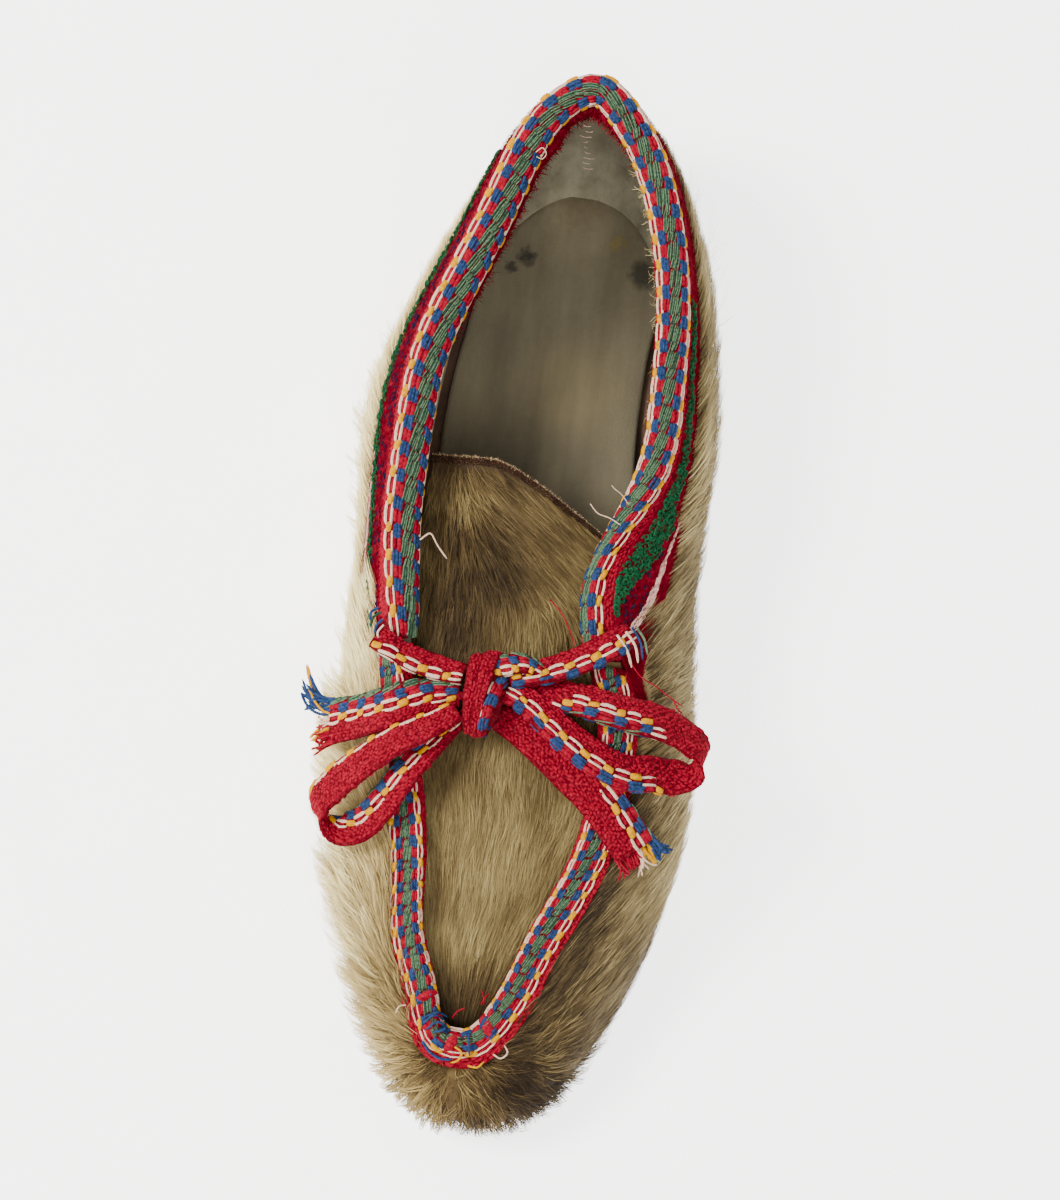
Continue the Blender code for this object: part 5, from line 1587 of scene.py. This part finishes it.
PINK_LINE = [
    # mm along the cuff, share down it, width
    (20.0, 0.10, 2.0), (21.0, 0.20, 2.4), (22.3, 0.39, 2.4), (25.7, 0.56, 2.4), (29.4, 0.66, 2.2),
    (33.3, 0.70, 1.9), (37.8, 0.71, 1.4), (44.5, 0.70, 0.8), (52.0, 0.66, 0.5), (58.0, 0.62, 0.0),
    (284.0, 0.84, 0.0), (294.0, 0.82, 0.7), (334.0, 0.80, 0.9),
]
NAVY_FLECKS = [
    # mm along the cuff, flecks in each step
    (14.0, 0.0), (18.0, 2.6), (34.0, 2.2), (42.0, 0.4), (60.0, 0.0), (212.0, 0.0), (236.0, 1.4),
    (300.0, 1.6), (330.0, 1.0),
]


CUFF_ROWS = 25
CUFF_STEP = 0.9             # mm along the cuff from one row of fibres to the next
FELT_SINK = 0.25            # how far the felt's face lies under its full thickness
FELT_FIBRES, FACING_FIBRES = 8000, 4000
CURLS_PER_MM, GREEN_PER_MM = 1.0, 2.2   # per mm of half the green line's width, in each row
PINK_STRAND = 0.75          # mm from one pink strand to the next
CURL_TURNS = (0.0, 1.3, 2.6, 3.9, 5.0)
FELT_LOOK, GREEN_LOOK, PINK_LOOK, NAVY_LOOK = range(4)      # places in CUFF_LOOKS


def cuff_sheet(columns):
    """The cuff's outer face, and its width at each column."""
    leg = wall.value(wall.leg, columns)
    widths = np.maximum(wall.value(wall.trim, columns), leg + CUFF_END_WIDE) - leg
    shares = np.linspace(0.0, 1.0, CUFF_ROWS)
    rows = []
    for share in shares:
        points, normals = wall.at(columns, leg + widths * share - 0.5 * GAP * (1.0 + share))
        rows.append(points + normals * (GAP + FELT_THICK - FELT_SINK))
    grid = np.stack(rows, axis=1)
    outward = wall.at(columns, leg + widths * 0.5)[1][:, None]
    return Sheet(grid, running_length(grid[:, CUFF_ROWS // 2]), shares, outward), widths


def about(place, reach):
    """A random place within reach of another."""
    return place + rng.uniform(-reach, reach)


def cuff_fibres(sheet, widths):
    """Floats all over the cuff, and places for the green curls."""
    green, pink, navy = (np.transpose(table) for table in (GREEN_LINE, PINK_LINE, NAVY_FLECKS))
    floats = []
    curls = []
    for at in np.arange(0.6, sheet.along[-1] - 0.6, CUFF_STEP):
        wide = np.interp(at, sheet.along, widths)
        for _ in range(max(3, int(wide * 0.4))):
            floats.append((about(at, 0.5), rng.uniform(0.02, 0.97), rng.uniform(0.9, 1.9),
                           rng.uniform(0.6, 1.0) / wide, rng.uniform(0.22, 0.42), 0,
                           about(0.0, 0.05), FELT_LOOK))
        half = np.interp(at, green[0], green[2], left=0.0, right=0.0)
        place = np.interp(at, green[0], green[1])
        if half > 0.2:
            for _ in range(max(1, round(CURLS_PER_MM * half))):
                aside = about(0.0, 0.9) * half / wide
                curls.append((about(at, 0.5), np.clip(place + aside, 0.03, 0.97)))
            for _ in range(max(1, round(GREEN_PER_MM * half))):
                aside = about(0.0, 1.0) * half / wide
                floats.append((about(at, 0.5), np.clip(place + aside, 0.03, 0.97),
                               rng.uniform(0.8, 1.5), rng.uniform(0.7, 1.1) / wide,
                               rng.uniform(0.45, 0.8), 0, about(0.0, 0.06), GREEN_LOOK))
        thick = np.interp(at, pink[0], pink[2], left=0.0, right=0.0)
        before, place, after = np.interp((at - 0.6, at, at + 0.6), pink[0], pink[1])
        if thick > 0.1:
            strands = max(1, round(thick / PINK_STRAND))
            for strand in range(strands):
                aside = (strand - 0.5 * (strands - 1)) * PINK_STRAND / wide
                long = rng.uniform(1.3, 1.9)
                floats.append((about(at, 0.2), about(place + aside, 0.01), long,
                               min(0.9, thick) / wide, 0.62, 0, (after - before) / 1.2 * long,
                               PINK_LOOK))
        for _ in range(rng.poisson(np.interp(at, navy[0], navy[1], left=0.0))):
            floats.append((about(at, 0.5), rng.uniform(0.04, 0.60), rng.uniform(0.8, 1.6),
                           rng.uniform(0.5, 0.9) / wide, 0.58, 0, about(0.0, 0.06), NAVY_LOOK))
    return floats, curls


def add_curl(pile, sheet, at, across):
    """One small open ring of curled yarn on a sheet."""
    points, normals = sheet.at(np.array([at, at + 0.5]), np.array([across, across]))
    here, normal = points[0], normals[0]
    way = unit(points[1] - here)
    over = np.cross(normal, way)
    turn = rng.uniform(0.0, 2.0 * math.pi)
    size = rng.uniform(0.45, 0.85)
    line = []
    for angle in CURL_TURNS:
        line.append(here + (way * math.cos(angle + turn) + over * math.sin(angle + turn)) * size
                    + normal * (0.35 + 0.35 * math.sin(0.6 * angle)))
    thread(pile, line, rng.uniform(0.22, 0.34), GREEN_LOOK, 4, steps=7)


def make_cuff(start, end):
    columns = np.concatenate(([start], np.arange(math.ceil(start), math.floor(end) + 1), [end]))
    sheet, widths = cuff_sheet(columns)
    rough = 0.12 * waves(sheet.grid, 41, 3.2) + 0.07 * waves(sheet.grid, 42, 1.6)
    outer = sheet.grid + sheet.normals * rough[..., None]
    inner = sheet.grid - sheet.normals * (FELT_THICK - FELT_SINK)
    section = np.concatenate((outer, inner[:, [24, 16, 8, 0]]), axis=1)
    pile = Pile()
    pile.add(section, grid_quads(*section.shape[:2], close_columns=True), look=FELT_LOOK)
    floats, curls = cuff_fibres(sheet, widths)
    add_floats(pile, sheet, floats)
    for at, across in curls:
        add_curl(pile, sheet, at, across)
    thing = pile.make("cuff", CUFF_LOOKS)
    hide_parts("felt_cuff")
    grow_felt(sheet, widths, FELT_FIBRES)


def grow_facing_fuzz(grid, outward, count):
    """Short red fibres over the inside facing."""
    local = np.random.default_rng(109)
    rows, columns = grid.shape[:2]
    row = local.integers(0, rows, count)
    column = local.integers(1, columns - 1, count)
    way = outward[row] * local.uniform(0.3, 1.1, count)[:, None]
    way = way + local.normal(size=(count, 3)) * 0.7
    lines = straight_fibres(grid[row, column], way)
    lines[:, 1:] += local.normal(size=(count, 3, 3)) * 0.12
    side = unit(np.cross(way, np.array([0.0, 0.0, 1.0])) + 0.01)
    hair_mesh("facing_fibres", lines, side, local.uniform(0.10, 0.2, count),
              local.uniform(0.1, 0.7, count), RED_FUZZ, True)


def grow_felt(sheet, widths, count):
    """Short red fibres brushed over the cuff, each a little up from root to tip."""
    local = np.random.default_rng(108)
    along = local.uniform(0.6, sheet.along[-1] - 0.6, count)
    across = local.uniform(0.02, 0.98, count)
    wide = np.interp(along, sheet.along, widths)
    long = local.uniform(1.2, 2.8, count)
    turn = local.normal(size=count) * 0.5
    high = local.uniform(0.25, 0.7, count)
    lines = []
    for k, share in enumerate(np.linspace(0.0, 1.0, HAIR_POINTS)):
        points, normals = sheet.at(along + np.cos(turn) * long * share,
                                   across + np.sin(turn) * long * share / wide)
        lines.append(points + normals * (0.12 + high * HAIR_RISE[k])[:, None])
    lines = np.stack(lines, axis=1)
    lines[:, -1] += local.normal(size=(count, 3)) * 0.25
    hair_mesh("cuff_fibres", lines, hair_side(lines, normals), local.uniform(0.10, 0.20, count),
              local.uniform(0.1, 0.6, count), RED_FUZZ, True)


# Knot

KNOT_WRAPS = [
    # x wide y_middle y_half z_half patterned
    (-2.7, 4.0, 0.0, 8.7, 4.1, False),
    (0.5, 4.2, 0.2, 9.5, 4.7, False),
    (3.3, 3.6, -2.6, 6.4, 4.0, True),
]
WRAP_FROM, WRAP_TO, WRAP_STEPS = -110.0, 250.0, 19      # degrees round the knot
ALL_RED = (9.0, 9.0)        # the pattern rolled so far off that only red weave shows
KNOT_STUB = [
    # x y z across_x across_y across_z wide
    (-6.0, -24.6, 53.6, 0.3, -0.9, 0.4, 5.0),
    (-3.0, -23.4, 54.2, 0.4, -0.9, 0.4, 5.6),
    (0.0, -22.6, 54.2, 0.4, -0.9, 0.4, 5.6),
    (3.0, -22.8, 53.4, 0.3, -0.9, 0.4, 4.8),
    (5.4, -23.8, 52.4, 0.2, -0.9, 0.4, 3.6),
]


def knot_wrap(pile, x, wide, y_middle, y_half, z_half, patterned):
    """One turn of bunched ribbon round the knot, narrower at its lower end."""
    rows = []
    for angle in np.linspace(WRAP_FROM, WRAP_TO, WRAP_STEPS):
        turn = math.radians(angle)
        narrow = 0.78 + 0.22 * math.cos(turn)
        lean = -0.3 + x * narrow - 0.7 * math.sin(turn) + 0.9 * math.cos(turn)
        rows.append((KNOT_MIDDLE[0] + lean,
                     KNOT_MIDDLE[1] + y_middle + y_half * math.cos(turn),
                     KNOT_MIDDLE[2] + z_half * math.sin(turn), 1.0, 0.1, 0.06 * x, wide * narrow))
    ribbon_strip(pile, rows, 1, 6.0, (1.9, 1.9) if patterned else ALL_RED, full=wide * 0.9)


def make_knot():
    pile = Pile()
    for wrap in KNOT_WRAPS:
        knot_wrap(pile, *wrap)
    ribbon_strip(pile, KNOT_STUB, -1, 4.6, (0.2, 0.2), full=7.0)
    turns, sides = 11, 20
    across = np.linspace(-0.98, 0.98, turns)
    angle = np.linspace(0.0, 2.0 * math.pi, sides, endpoint=False)
    size = (1.0 - np.abs(across) ** 2.6) ** 0.45
    rings = [np.column_stack((np.full(sides, x * KNOT_HALF[0]),
                              np.cos(angle) * (KNOT_HALF[1] - 1.6) * grow,
                              np.sin(angle) * (KNOT_HALF[2] - 1.1) * grow))
             for x, grow in zip(across, size)]
    pile.add(np.array(rings) + KNOT_MIDDLE, grid_quads(turns, sides, close_columns=True), look=D)
    thing = pile.make("bow_knot", BAND_LOOKS)
    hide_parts("lace_knot")
    return thing


# Loose ends and threads

def thread(pile, line, radius, look, sides=5, taper=True, steps=0):
    """A thin yarn along a smooth line through points."""
    rows = open_curve(np.array(line, float), steps or max(6, 3 * len(line)))
    along = unit(np.gradient(rows, axis=0))
    side = unit(np.cross(along, np.array([0.31, 0.22, 0.92])))
    over = np.cross(along, side)
    size = np.full(len(rows), radius)
    if taper:
        size[-1] = radius * 0.35
    turn = np.linspace(0.0, 2.0 * math.pi, sides, endpoint=False)
    rings = rows[:, None] + (side[:, None] * np.cos(turn)[None, :, None]
                             + over[:, None] * np.sin(turn)[None, :, None]) * size[:, None, None]
    pile.add(rings, grid_quads(len(rows), sides, close_columns=True), look=look)


def fringe(pile, route, spread, seed):
    """Frayed yarn ends past the last row of a ribbon.

    spread: (from, to, yarn, count, length, how far they turn aside).
    """
    local = np.random.default_rng(seed)
    middle, wide, along, across, face, _ = ribbon_line(route, 1.0)
    end, way, side = middle[-1], along[-1], across[-1]
    up = np.array([0.0, 0.0, 1.0])
    for first, last, look, count, length, aside in spread:
        for _ in range(count):
            place = local.uniform(first, last)
            start = end + side * place * 0.5 * wide[-1] + face[-1] * local.uniform(-0.7, 0.7)
            drift = side * (aside + local.normal() * 0.20) + up * local.normal() * 0.16
            long = length * local.uniform(0.6, 1.15)
            curl = side * local.normal() * 0.25 + up * local.uniform(-0.35, 0.1)
            line = [start - way * 1.2, start + way * long * 0.35 + drift * long * 0.2,
                    start + way * long * 0.7 + (drift + curl * 0.5) * long * 0.5,
                    start + way * long + (drift + curl) * long * 0.9]
            stout = 1.5 if look in (B, Y) else 1.0
            thread(pile, line, stout * local.uniform(0.20, 0.30), look)


LOOSE_THREADS = [
    # yarn, radius, points
    (W, 0.22, [(-27.6, 6.0, 48.6), (-25.3, 7.6, 49.8), (-23.4, 5.3, 48.6), (-20.6, 2.1, 48.6)]),
    (W, 0.14, [(-11.4, 104.6, 57.4), (-9.8, 105.8, 57.8), (-8.8, 104.6, 57.0),
               (-9.6, 103.4, 56.4), (-11.2, 103.8, 56.6)]),
    (W, 0.10, [(17.0, 24.6, 50.8), (18.0, 23.4, 52.0), (19.4, 22.4, 52.6), (21.6, 20.0, 52.4)]),
    (W, 0.14, [(12.4, 19.4, 50.6), (14.6, 17.0, 51.6), (17.2, 16.2, 52.2), (20.4, 14.6, 52.4)]),
    (R, 0.16, [(5.5, -5.3, 50.2), (8.3, -8.0, 51.4), (10.7, -11.8, 52.4), (12.9, -16.5, 53.4)]),
    (R, 0.16, [(26.4, -18.0, 50.4), (29.4, -21.4, 50.2), (33.0, -22.9, 48.8), (38.0, -25.5, 46.6),
               (40.4, -26.6, 45.6)]),
    (R, 0.20, [(38.0, -25.5, 46.6), (39.2, -27.4, 46.0), (40.6, -28.4, 45.4)]),
    (R, 0.22, [(0.6, -102.0, 27.6), (1.4, -100.4, 28.8), (2.2, -99.4, 30.0)]),
    (R, 0.22, [(1.2, -102.0, 27.6), (1.0, -100.2, 28.6), (0.4, -98.8, 29.6)]),
    (G, 0.30, [(27.0, -9.6, 50.6), (29.2, -12.2, 50.2), (30.4, -15.6, 48.8)]),
    (B, 0.30, [(26.0, -9.8, 51.0), (28.4, -13.2, 50.6), (29.4, -17.0, 49.0)]),
    (W, 0.34, [(24.6, -11.2, 51.8), (27.2, -14.2, 51.2), (28.4, -18.0, 49.4)]),
    (W, 0.34, [(22.6, -12.4, 52.4), (25.4, -15.8, 52.0), (27.0, -19.4, 50.0)]),
    (N, 0.36, [(-34.4, -13.6, 51.8), (-36.2, -15.0, 51.4), (-36.6, -17.4, 50.6)]),
    (B, 0.36, [(-35.2, -12.6, 51.6), (-36.8, -13.6, 51.0), (-37.0, -15.6, 50.4)]),
    (B, 0.34, [(-33.8, -15.4, 52.0), (-35.2, -17.2, 51.8), (-35.2, -19.2, 51.0)]),
    (W, 0.26, [(-33.4, -16.8, 52.4), (-34.6, -18.8, 52.2), (-34.0, -20.8, 51.6)]),
]


LAID_THREADS = [
    # yarn, radius, points seen from above: x, y and height over the band
    (W, 0.20, [(5.0, -113.6, 0.2), (6.8, -114.4, 0.5), (8.4, -112.8, 0.9), (7.4, -111.2, 0.6)]),
    (W, 0.18, [(-17.4, -104.6, 0.2), (-18.8, -105.0, 0.8), (-19.6, -106.8, 0.6)]),
    (B, 0.32, [(-12.6, -108.4, 0.3), (-10.6, -106.4, 0.8), (-7.8, -107.0, 0.8),
               (-7.6, -109.4, 0.7), (-10.2, -110.2, 0.5)]),
    (B, 0.32, [(-11.6, -109.6, 0.4), (-9.4, -107.8, 1.2), (-6.8, -108.4, 0.9)]),
    (B, 0.30, [(-12.4, -106.9, 0.3), (-10.0, -105.6, 0.7), (-7.0, -106.0, 0.3)]),
    (B, 0.34, [(-12.4, -112.6, 0.4), (-10.2, -115.0, 0.5), (-7.2, -116.2, 0.5),
               (-4.6, -116.0, 0.4)]),
    (B, 0.26, [(-1.4, -109.4, 0.4), (-1.2, -112.0, 0.8), (-0.6, -114.8, 0.5)]),
    (Y, 0.28, [(-4.4, -113.0, 0.4), (-2.6, -114.2, 1.0), (-3.4, -116.2, 0.8), (-5.0, -116.8, 0.3)]),
    (Y, 0.26, [(-0.8, -117.0, 0.4), (1.4, -117.2, 0.5), (3.0, -115.6, 0.5)]),
    (R, 0.22, [(-6.0, -106.0, 0.5), (-5.0, -104.4, 1.0), (-3.2, -103.4, 1.4)]),
]


def make_threads(band):
    pile = Pile()
    for look, radius, line in LOOSE_THREADS:
        thread(pile, line, radius, look)
    face = band.grid.reshape(-1, 3)
    for look, radius, line in LAID_THREADS:
        points = []
        for x, y, over in line:
            nearest = np.argmin((face[:, 0] - x) ** 2 + (face[:, 1] - y) ** 2
                                - 0.02 * face[:, 2])
            points.append((x, y, face[nearest, 2] + 0.4 + over))
        thread(pile, points, radius, look)
    thing = pile.make("loose_threads", BAND_LOOKS)


SEAM_TOP = np.array([0.0, 115.6, 50.0])
SEAM_FOOT = np.array([0.9, 111.6, 26.0])
SEAM_COUNT = 10


def make_seam():
    """White stitches down the middle of the heel lining."""
    local = np.random.default_rng(107)
    pile = Pile()
    skin = wall.points.reshape(-1, 3)
    for share in np.linspace(0.0, 1.0, SEAM_COUNT):
        middle = SEAM_TOP + (SEAM_FOOT - SEAM_TOP) * share
        spot = np.argmin(np.linalg.norm((skin - middle)[:, [0, 2]], axis=1)
                         + 0.001 * np.abs(skin[:, 1] - middle[1]))
        middle[1] = min(middle[1], skin[spot, 1] - SKIN_THICK - 0.5)
        middle[0] += local.normal() * 0.4
        reach = np.array([local.uniform(0.4, 1.5), 0.0, local.normal() * 0.3])
        thread(pile, [middle - reach, middle - np.array([0.0, 0.2, 0.0]), middle + reach], 0.11, W,
               taper=False)
    thing = pile.make("heel_seam", BAND_LOOKS)


# Inside facing of red felt under the collar band

FACING_ROWS = 9
FACING_OUTWARD_ROW = 4      # row of the wall that gives the way the facing's fibres stand
FACING_LEAST, FACING_MORE = 1.5, 7.5        # depth at the ends, and what is added between
BULGE_LEAST, BULGE_HEEL, BULGE_INNER = 0.4, 3.0, 2.8


def between(columns, start, full_from, full_to, end):
    """1 from one section of the wall to another, eased in before and out after."""
    start, full_from, full_to, end = map(wall.column, (start, full_from, full_to, end))
    return smooth_step(start, full_from, columns) * smooth_step(end, full_to, columns)


def make_facing(start, end):
    columns = np.arange(math.ceil(start), math.floor(end) + 1)
    deep = smooth_step(start, start + 40.0, columns) * smooth_step(end, end - 50.0, columns)
    most = (BULGE_LEAST + BULGE_HEEL * between(columns, 15.4, 17.6, 18.4, 20.4)
            + BULGE_INNER * between(columns, 18.8, 19.6, 21.8, 23.4))
    rows = []
    for share in np.linspace(0.0, 1.0, FACING_ROWS):
        distance = 1.0 + share * (FACING_LEAST + FACING_MORE * deep)
        points, normals = wall.at(columns, distance)
        thick = wall.thickness(columns, distance)
        bulge = most * math.sin(math.pi * min(1.0, share * 1.15))
        rows.append(points - normals * (thick + bulge + 0.4)[:, None])
    grid = np.stack(rows, axis=1)
    grid = grid + 0.22 * waves(grid, 51, 2.2)[..., None] * np.array([1.0, 1.0, 0.3])
    pile = Pile()
    pile.add(grid, grid_quads(len(columns), FACING_ROWS))
    thing = pile.make("collar_facing", CUFF_LOOKS)
    grow_facing_fuzz(grid, -wall.sheet.normals[columns, FACING_OUTWARD_ROW], FACING_FIBRES)


# Camera, light and floor

def put_aimed(thing, right, up, back, place):
    """Puts a camera or lamp into the scene at a place in metres, its back turned to back."""
    matrix = np.eye(4)
    matrix[:3, :3] = np.column_stack((right, up, back))
    matrix[:3, 3] = place
    thing.matrix_world = Matrix(matrix.tolist())
    bpy.context.scene.collection.objects.link(thing)


def aim_camera():
    data = bpy.data.cameras.new("camera")
    data.lens = CAMERA_LENS
    data.sensor_width = 36.0
    camera = bpy.data.objects.new("camera", data)
    turn, rise = math.radians(CAMERA_TURN), math.radians(CAMERA_RISE)
    back = np.array([math.sin(turn) * math.cos(rise), -math.cos(turn) * math.cos(rise),
                     math.sin(rise)])
    right = np.array([math.cos(turn), math.sin(turn), 0.0])
    place = metres(np.array(CAMERA_AIM) + back * CAMERA_FAR)
    put_aimed(camera, right, np.cross(back, right), back, place)
    bpy.context.scene.camera = camera


def add_light(name, place, size, power, colour=(1.0, 1.0, 1.0)):
    """A round area light aimed at the origin."""
    data = bpy.data.lights.new(name, "AREA")
    data.shape = "DISK"
    data.size = size
    data.energy = power
    data.color = colour
    back = unit(np.array(place))
    side = unit(np.cross(np.array([0.0, 1.0, 0.02]), back))
    put_aimed(bpy.data.objects.new(name, data), side, np.cross(back, side), back, place)


def light_studio():
    world = bpy.data.worlds.new("studio")
    bpy.context.scene.world = world
    world.use_nodes = True
    background = world.node_tree.nodes["Background"]
    background.inputs["Color"].default_value = (1.0, 1.0, 1.0, 1.0)
    background.inputs["Strength"].default_value = SKY_STRENGTH
    add_light("key", (-0.80, 0.10, 1.00), 0.5, 28.0, (1.0, 0.985, 0.95))
    add_light("fill", (0.15, -0.60, 1.20), 0.8, 13.0)


def lay_floor():
    half = FLOOR_HALF
    mesh = bpy.data.meshes.new("floor")
    mesh.from_pydata([(-half, -half, 0.0), (half, -half, 0.0), (half, half, 0.0),
                      (-half, half, 0.0)], [], [(0, 1, 2, 3)])
    made, nodes, links, shader = shade("floor", linear(240, 240, 238), 0.75, 0.0, 0.2)
    shader.inputs["Emission Color"].default_value = (1.0, 1.0, 1.0, 1.0)
    shader.inputs["Emission Strength"].default_value = FLOOR_GLOW
    noise = object_noise(nodes, links, 40.0, 5.0)
    tint = ramp(nodes, links, noise.outputs["Fac"],
                screen_stops((0.3, 238, 238, 236), (0.7, 243, 243, 241)))
    links.new(tint.outputs["Color"], shader.inputs["Base Color"])
    mesh.materials.append(made)
    floor = bpy.data.objects.new("floor", mesh)
    bpy.context.scene.collection.objects.link(floor)


# Laces

LACE_PITCH = 6.5            # length of one repeat of the pattern
KNOT_PASS = 4.0             # width of the ribbon squeezed through the knot


def inside_knot(route_end, route_start):
    """A short squeezed stretch of ribbon through the knot, between two routes."""
    first, last = np.array(route_end), np.array(route_start)
    middle = 0.5 * (first + last)
    middle[0:3] = 0.35 * middle[0:3] + 0.65 * (KNOT_MIDDLE + np.array([0.0, 0.0, -1.5]))
    rows = np.stack((first, middle, last))
    rows[:, 6] = KNOT_PASS
    rows[:, 3:6] = (0.0, 0.0, 1.0)
    return rows


def make_lace(name, loop, tail, nodes, green_loop, green_tail, shifts, tail_shift, frayed):
    """One loop and tail as a cord, joined inside the knot, with a frayed end of its own."""
    pile = Pile()
    loop_line = ribbon_strip(pile, loop, green_loop, LACE_PITCH, shifts)
    through = inside_knot(loop[-1], tail[0])
    middle = ribbon_strip(pile, through, 1, LACE_PITCH, ALL_RED, full=KNOT_PASS)
    tail_line = ribbon_strip(pile, tail, green_tail, LACE_PITCH, (tail_shift, tail_shift))
    thing = pile.make(name, BAND_LOOKS)
    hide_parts(*nodes)
    ends = Pile()
    fringe(ends, tail, frayed, len(name))
    frayed_end = ends.make(name.replace("lace", "frayed_end"), BAND_LOOKS)


LOOP_ROLL = [
    # share along the lateral loop, how far the pattern is rolled off
    (0.0, 6.5), (0.10, 6.0), (0.16, 1.3), (0.31, 1.3), (0.38, 6.5), (0.58, 6.5), (0.65, 2.0),
    (1.0, 1.8),
]


# Build: camera and laces first

aim_camera()
light_studio()
lay_floor()

knot = make_knot()
make_lace("lace_medial", LOOP_MEDIAL, TAIL_MEDIAL, ("lace_loop_medial", "lace_tail_medial"),
          -1, -1, (4.9, 0.9), 0.0,
          [(-1.0, -0.7, G, 5, 4.0, -0.2), (-1.0, -0.3, B, 28, 9.5, -0.65),
           (-0.6, -0.2, Y, 7, 8.5, -1.1), (-0.3, 0.1, W, 5, 5.0, 0.1),
           (-0.1, 0.3, Y, 4, 6.5, 0.5), (-0.1, 1.0, R, 34, 5.0, 0.15)])
make_lace("lace_lateral", LOOP_LATERAL, TAIL_LATERAL, ("lace_loop_lateral", "lace_tail_lateral"),
          1, -1, (LOOP_ROLL, LOOP_ROLL), [(0.0, 6.5), (0.45, 6.5), (0.72, 1.6), (1.0, 1.2)],
          [(-1.0, -0.6, B, 20, 5.0, -0.15), (-0.6, -0.3, Y, 8, 5.0, 0.05),
           (-0.35, 0.1, W, 6, 5.5, 0.2), (-0.1, 1.0, R, 34, 3.6, 0.1)])

for bar_name, route, bar_shift in (("lace_bar_medial", BAR_MEDIAL, 4.0),
                                   ("lace_bar_lateral", BAR_LATERAL, 2.7)):
    pile = Pile()
    ribbon_strip(pile, route, 1, LACE_PITCH, (bar_shift, bar_shift), full=8.0)
    bar = pile.make(bar_name.replace("lace_", "ribbon_"), BAND_LOOKS)
    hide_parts(bar_name)

weave_band("band_collar", "collar_band", outer_corner, inner_corner, COLLAR_INNER_LEG, 6.8,
           [(0.0, 2.0, -0.10, 0.90), (0.35, 1.8, -0.10, 0.90), (0.46, -0.1, 0.0, 0.95),
            (0.54, -0.4, 0.0, 1.0), (0.68, -0.8, -0.40, 1.0), (1.0, -1.0, -0.40, 1.0)])
throat = weave_band("band_throat", "throat_band", inner_corner + 1.5 - COLUMNS,
                    outer_corner - 1.5, THROAT_INNER_LEG, 5.1,
                    [(0.0, 7.9, 0.1, 0.70), (0.2, 7.5, 0.1, 0.70), (0.35, 6.0, 0.0, 0.72),
                     (0.5, 4.8, 0.0, 0.72), (0.6, 5.5, 0.2, 0.70), (0.8, 6.3, 0.3, 0.68),
                     (1.0, 6.4, 0.3, 0.66)],
                    [(-13.0, 4.6, 2.0, 6.0, 1.0, 0.0, -2.6, R),
                     (-7.0, 4.0, 2.2, 7.4, 1.1, 0.0, -3.4, R),
                     (-1.0, 5.4, 2.0, 4.6, 0.9, 0.0, -2.6, R),
                     (7.0, 4.0, 2.4, 6.4, 0.9, 0.0, -0.8, R)])
make_cuff(CUFF_FROM, inner_corner)
make_facing(wall.column(15.4), inner_corner - 2)
make_threads(throat)
make_pelt()
make_lining()
make_seam()
make_insole()
make_tongue()

OUTSOLE = leather_look(
    "outsole_leather", screen_stops((0.3, 44, 30, 22), (0.5, 74, 52, 38), (0.72, 104, 78, 58)),
    90.0, (1.0, 0.5, 1.0), 0.75, 1500.0)
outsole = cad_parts["outsole"]
for place in outsole.material_slots:
    place.material = OUTSOLE

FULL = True
# name, hairs, seed, length, width, lift, change of tone
grow_upper("fur_under", 34000 if FULL else 20000, 101, 10.0, 0.29, 0.75, -0.12, 0.4, short=True)
grow_upper("fur_over", 42000 if FULL else 20000, 102, 13.0, 0.18, 1.0, 0.03, 0.65)
grow_tongue("tongue_under", 12000 if FULL else 6000, 103, 9.0, 0.26, 0.9, -0.06, short=True)
grow_tongue("tongue_over", 15000 if FULL else 5000, 104, 12.0, 0.15, 1.3, 0.03)

stray_rng = np.random.default_rng(105)
grow_strays(stray_rng)
grow_tufts(stray_rng)
grow_lining_fuzz(stray_rng)
grow_raw_edge()
